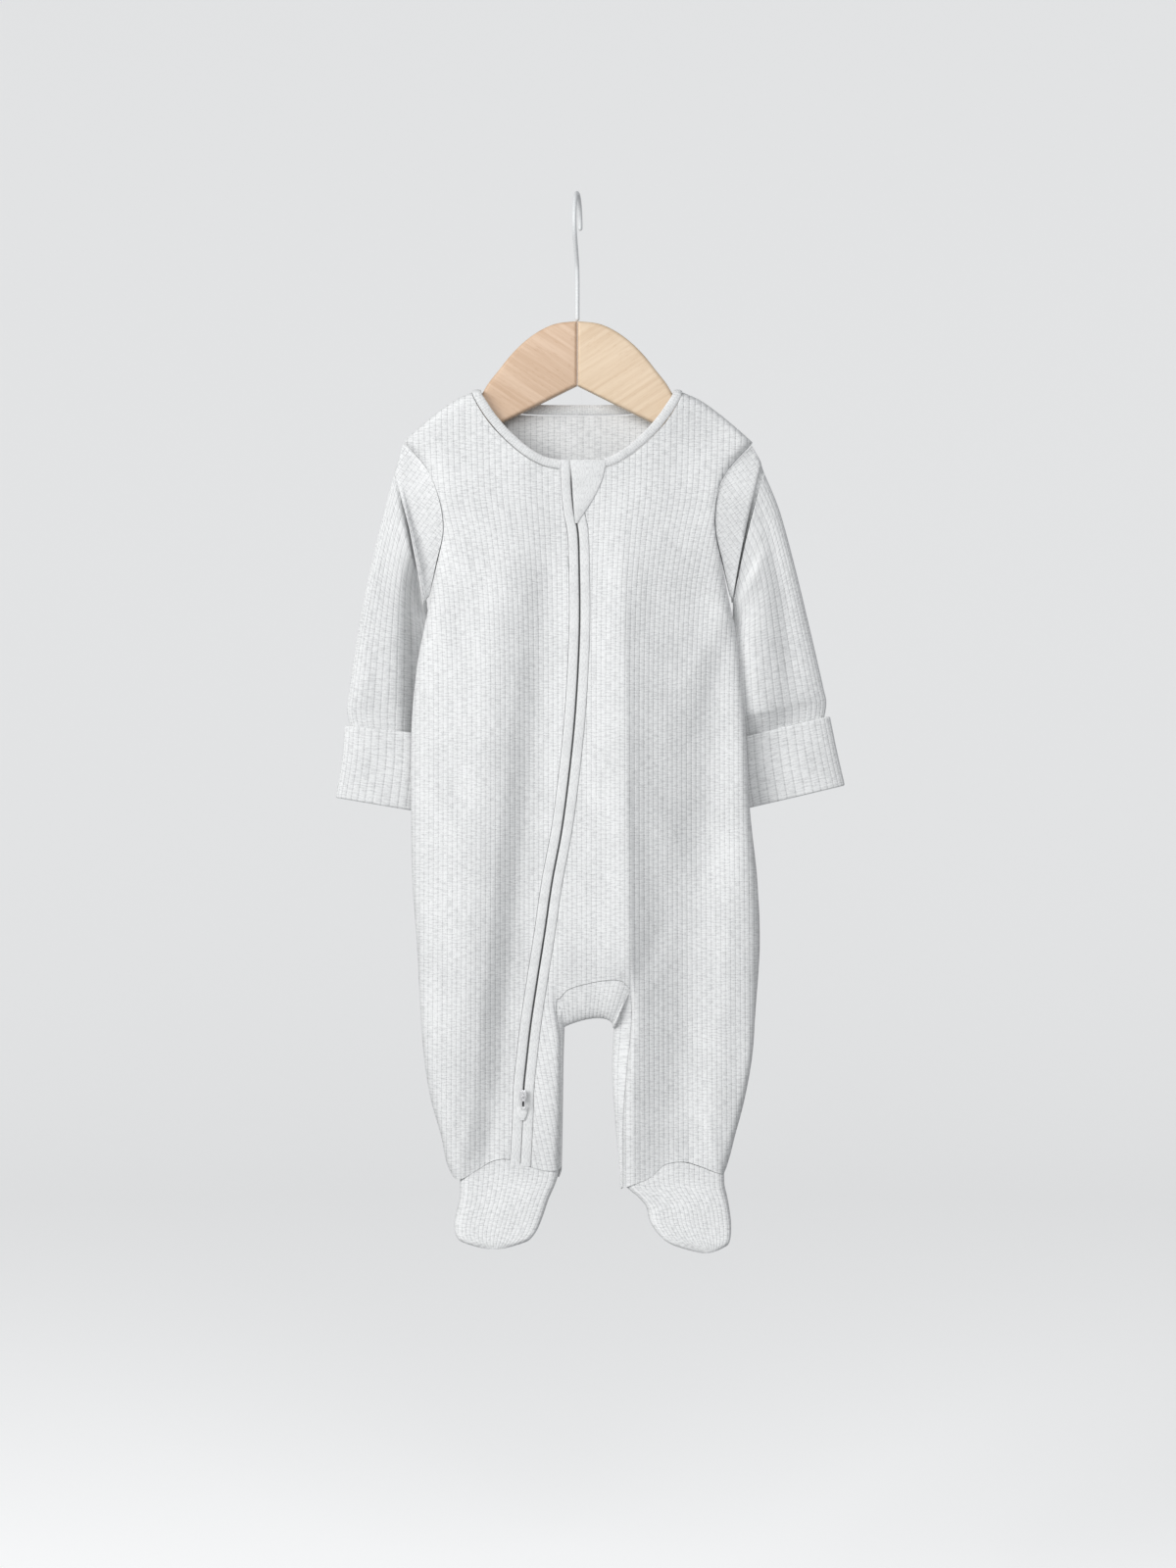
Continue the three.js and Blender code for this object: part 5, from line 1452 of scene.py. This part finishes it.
def nickel_finish():
    """Bright plate over zinc, with faint scuffs."""
    finish = Finish("nickel", base_color=(0.66, 0.66, 0.67, 1), metallic=1.0)
    place = finish.node("ShaderNodeTexCoord", output=3)
    scuffs = finish.noise(finish.scaled(place, (1, 1, 0.3)), 1400).step(0.35, 0.75)
    finish.set(base_color=finish.blend(scuffs, (0.62, 0.62, 0.63), (0.5, 0.5, 0.51)))
    finish.set(roughness=0.24 + 0.14 * scuffs)
    finish.bump(scuffs, 0.00002)
    return finish.material


nickel = nickel_finish()
slider_low, slider_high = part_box("zip_slider")
slider_low, slider_high = np.array(slider_low) / MM, np.array(slider_high) / MM
pull_low, pull_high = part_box("zip_pull")
pull_low, pull_high = np.array(pull_low) / MM, np.array(pull_high) / MM


def solid_plate(name, outline, y_front, y_back, bevel, material):
    """A flat plate with rounded rims, from an outline of x, z points inset by the bevel."""
    outline = np.array(outline, float)
    before, after = np.roll(outline, 1, 0), np.roll(outline, -1, 0)
    edge_in, edge_out = unit(outline - before), unit(after - outline)
    normal_in = np.stack([edge_in[:, 1], -edge_in[:, 0]], 1)
    normal_out = np.stack([edge_out[:, 1], -edge_out[:, 0]], 1)
    miter = normal_in + normal_out
    miter = miter / np.maximum((miter * normal_out).sum(1, keepdims=True), 0.6)
    area = (outline[:, 0] * after[:, 1] - after[:, 0] * outline[:, 1]).sum()
    if area < 0:
        outline, miter = outline[::-1], -miter[::-1]
    rings = []
    angles = np.linspace(0, np.pi / 2, 6)
    for y, sign in ((y_front, 1), (y_back, -1)):
        for angle in angles if sign > 0 else angles[::-1]:
            ring = outline + miter * bevel * np.sin(angle)
            depth = y + sign * bevel * (1 - np.cos(angle))
            rings.append(np.stack([ring[:, 0], np.full(len(ring), depth), ring[:, 1]], 1))
    count = len(outline)
    points = np.concatenate(rings)
    faces = [tuple(range(count)), tuple(range(len(points) - count, len(points)))[::-1]]
    for r in range(len(rings) - 1):
        for k in range(count):
            a, b = r * count + k, r * count + (k + 1) % count
            faces.append((a, a + count, b + count, b))
    mesh = bpy.data.meshes.new(name)
    mesh.from_pydata((points * MM).tolist(), [], faces)
    mesh.polygons.foreach_set("use_smooth", [True] * len(faces))
    mesh.set_sharp_from_angle(angle=math.radians(32))
    mesh.materials.append(material)
    return mesh


SLIDER_BEVEL = 0.45
middle_x = (slider_low[0] + slider_high[0]) / 2
half_wide = (slider_high[0] - slider_low[0]) / 2 - SLIDER_BEVEL
low_z, high_z = slider_low[2] + SLIDER_BEVEL, slider_high[2] - SLIDER_BEVEL
turns = np.linspace(0, 2 * np.pi, 41)[:-1]
shield = [
    (
        middle_x
        + half_wide
        * (1 - 0.4 * (0.5 - 0.5 * np.sin(a)))
        * np.sign(np.cos(a))
        * abs(np.cos(a)) ** 0.5,
        (low_z + high_z) / 2 + (high_z - low_z) / 2 * np.sign(np.sin(a)) * abs(np.sin(a)) ** 0.5,
    )
    for a in turns
]
slider_mesh = solid_plate("zip_slider_body", shield, slider_low[1], slider_high[1], SLIDER_BEVEL, nickel)
piece("zip_slider_body", slider_mesh, "zip_metal", "zip_slider")

PULL_WIRE = 0.45
hinge_z = pull_high[2] - PULL_WIRE
face_y = slider_low[1]
bridge_turns = np.linspace(0, np.pi, 25)
bridge_line = np.stack(
    [
        np.full(25, middle_x),
        face_y + 0.2 - 1.85 * np.sin(bridge_turns) ** 0.7,
        hinge_z + 1.25 * np.cos(bridge_turns) + 0.1,
    ],
    1,
)
piece("zip_slider_bridge", wire("zip_slider_bridge", bridge_line, 0.34, nickel), "zip_metal")

pull_y = (pull_low[1] + pull_high[1]) / 2
pull_half = (pull_high[0] - pull_low[0]) / 2 - PULL_WIRE
straight_top, straight_low = pull_high[2] - PULL_WIRE - pull_half, pull_low[2] + PULL_WIRE + pull_half
loop = [
    (middle_x + pull_half * np.cos(a), straight_top + pull_half * np.sin(a))
    for a in np.linspace(0, np.pi, 15)
]
loop += [(middle_x - pull_half, z) for z in np.linspace(straight_top, straight_low, 14)[1:-1]]
loop += [
    (middle_x + pull_half * np.cos(a), straight_low + pull_half * np.sin(a))
    for a in np.linspace(np.pi, 2 * np.pi, 15)
]
loop += [(middle_x + pull_half, z) for z in np.linspace(straight_low, straight_top, 14)[1:-1]]
loop_line = np.array([(x, pull_y, z) for x, z in loop])
loop_mesh = wire("zip_pull_loop", loop_line, PULL_WIRE, nickel, closed=True)
piece("zip_pull_loop", loop_mesh, "zip_metal", "zip_pull", body="pull_tab")

# The flap that guards the chin at the zip's top, and the small stop below its lower end:
# plain jersey, folded double and sewn on.
FLAP = [
    dict(z=-173.4, left=-4.6, right=18.4),
    dict(z=-184, left=-3.6, right=16.6),
    dict(z=-194, left=-3, right=12.6),
    dict(z=-203, left=-2.4, right=7.6),
    dict(z=-210, left=-1.8, right=3.2),
    dict(z=-214.6, left=-1.2, right=0.4),
]
FLAP_PROUD = dict(left=1.25, right=0.85)
FLAP_HALF = 0.45
TAB_PROUD = dict(left=1.7, right=1.7)
TAB = [
    dict(z=-593.6, left=-4.2, right=3),
    dict(z=-598, left=-3.8, right=2.6),
    dict(z=-602.5, left=-1.4, right=1),
]


def patch(name, table, offset, proud, half):
    z = np.linspace(table[0]["z"], table[-1]["z"], 60)
    edges = [
        on_body("front", read(table, "z", z, key) + offset(z), z, proud[key])
        for key in ("left", "right")
    ]
    return strip_mesh(name, *edges, half, half, plain_knit, crown=2.2)


flap = piece(
    "zip_flap_cloth",
    patch("zip_flap_cloth", FLAP, lambda z: 0 * z, FLAP_PROUD, FLAP_HALF),
    "plain_knit",
    "zip_flap",
)
tab = piece("zip_tab_cloth", patch("zip_tab_cloth", TAB, zip_x, TAB_PROUD, 0.5), "plain_knit", "zip_tab")

# The hanger: two mirrored halves of lacquered beech, glued together at the middle, each
# cut from a board with its grain along the arm, and with its rims rounded over.
HANGER_HALF_THICK = 5.2
HANGER_BEVEL = 2.4
HANGER_APEX_Z = -125
HANGER_TOP = [
    dict(x=0, z=-82),
    dict(x=13.8, z=-83.8),
    dict(x=24.3, z=-88.6),
    dict(x=34, z=-95.8),
    dict(x=42.4, z=-104.4),
    dict(x=50, z=-114),
    dict(x=56.3, z=-122),
    dict(x=61, z=-130),
    dict(x=66, z=-137),
    dict(x=78, z=-141.4),
    dict(x=88, z=-147.4),
]

HANGER_END = [
    dict(x=91.4, z=-153),
    dict(x=89.6, z=-158.6),
    dict(x=85, z=-160.6),
]


def beech(name, pale, deep, lean):
    """Beech with fine grain along the arm and its short darker rays."""
    finish = Finish(name, specular_ior_level=0.35, coat_weight=0.12, coat_roughness=0.35)
    place = finish.node("ShaderNodeTexCoord", output=3)
    turned = finish.node("ShaderNodeMapping", {}, {"Vector": place, "Rotation": (0, math.radians(lean), 0)})
    grain = finish.noise(finish.scaled(turned, (18, 300, 420)), 1.0, detail=4.0).step(0.3, 0.72)
    rays = finish.noise(finish.scaled(turned, (260, 700, 1900)), 1.0).step(0.6, 0.72)
    drift = finish.noise(finish.scaled(turned, (9, 40, 50)), 1.0).step(0.25, 0.8)
    finish.set(base_color=finish.blend(0.45 * grain + 0.3 * rays + 0.3 * drift, pale, deep))
    finish.set(roughness=0.42 + 0.12 * grain)
    finish.bump(0.6 * grain + 0.4 * rays, 0.00006)
    return finish.material


# The two halves differ in colour as painted light and shade: the wearer's right half gets a darker beech,
# standing for less light falling on it.
for wearer, sign, pale, deep in (
    ("right", -1, (0.72, 0.53, 0.385), (0.52, 0.34, 0.215)),
    ("left", 1, (0.76, 0.605, 0.44), (0.6, 0.43, 0.28)),
):
    joint = SEAM_GAP / 2 + HANGER_BEVEL
    xs = mix(joint, HANGER_TOP[-1]["x"] - HANGER_BEVEL, np.linspace(0, 1, 61))
    outline = [(x, z - HANGER_BEVEL) for x, z in zip(xs, read(HANGER_TOP, "x", xs, "z"))]
    outline += [(row["x"] - HANGER_BEVEL, row["z"] + HANGER_BEVEL * 0.4) for row in HANGER_END]
    outline += [(76, -155.8), (50.5, -148.8 + HANGER_BEVEL), (joint, HANGER_APEX_Z + HANGER_BEVEL)]
    outline = [(sign * x, z) for x, z in outline]
    name = f"{wearer}_hanger_half"
    material = beech(f"beech_{wearer}", pale, deep, sign * 33)
    mesh = solid_plate(name, outline, -HANGER_HALF_THICK, HANGER_HALF_THICK, HANGER_BEVEL, material)
    piece(name, mesh, "beech", f"hanger_{wearer}")

# The hook: steel wire with a white coat, screwed into the top of the hanger and bent round
# to bear on a rail. It stands almost edge on to the front.
HOOK_WIRE = 1.5
HOOK_RADIUS = 19
HOOK_TURN = 0.1
hook_places = [(0, HANGER_TOP[0]["z"] + SEAM_GAP + HOOK_WIRE), (0, -70), (0, -56), (-1.5, -47), (-7, -39)]
for degrees in range(215, -8, -5):
    angle = math.radians(degrees)
    hook_places.append(
        (HOOK_RADIUS * math.cos(angle), HOOK_WIRE - HOOK_RADIUS + HOOK_RADIUS * math.sin(angle))
    )
steps = np.hypot(*np.diff(np.array(hook_places), axis=0).T)
way = np.concatenate([[0], np.cumsum(steps)])
rows = [dict(way=w, y=y, z=z) for w, (y, z) in zip(way, hook_places)]
along = np.arange(0, way[-1], 1.0)
hook_y, hook_z = read(rows, "way", along, "y"), read(rows, "way", along, "z")
hook_line = np.stack([hook_y * math.sin(HOOK_TURN), hook_y * math.cos(HOOK_TURN), hook_z], 1)
white_coat = plastic("white_coat", (0.83, 0.845, 0.855), 0.32)
piece("hook_wire", wire("hook_wire", hook_line, HOOK_WIRE, white_coat, sides=24), "coated_wire", "hook")
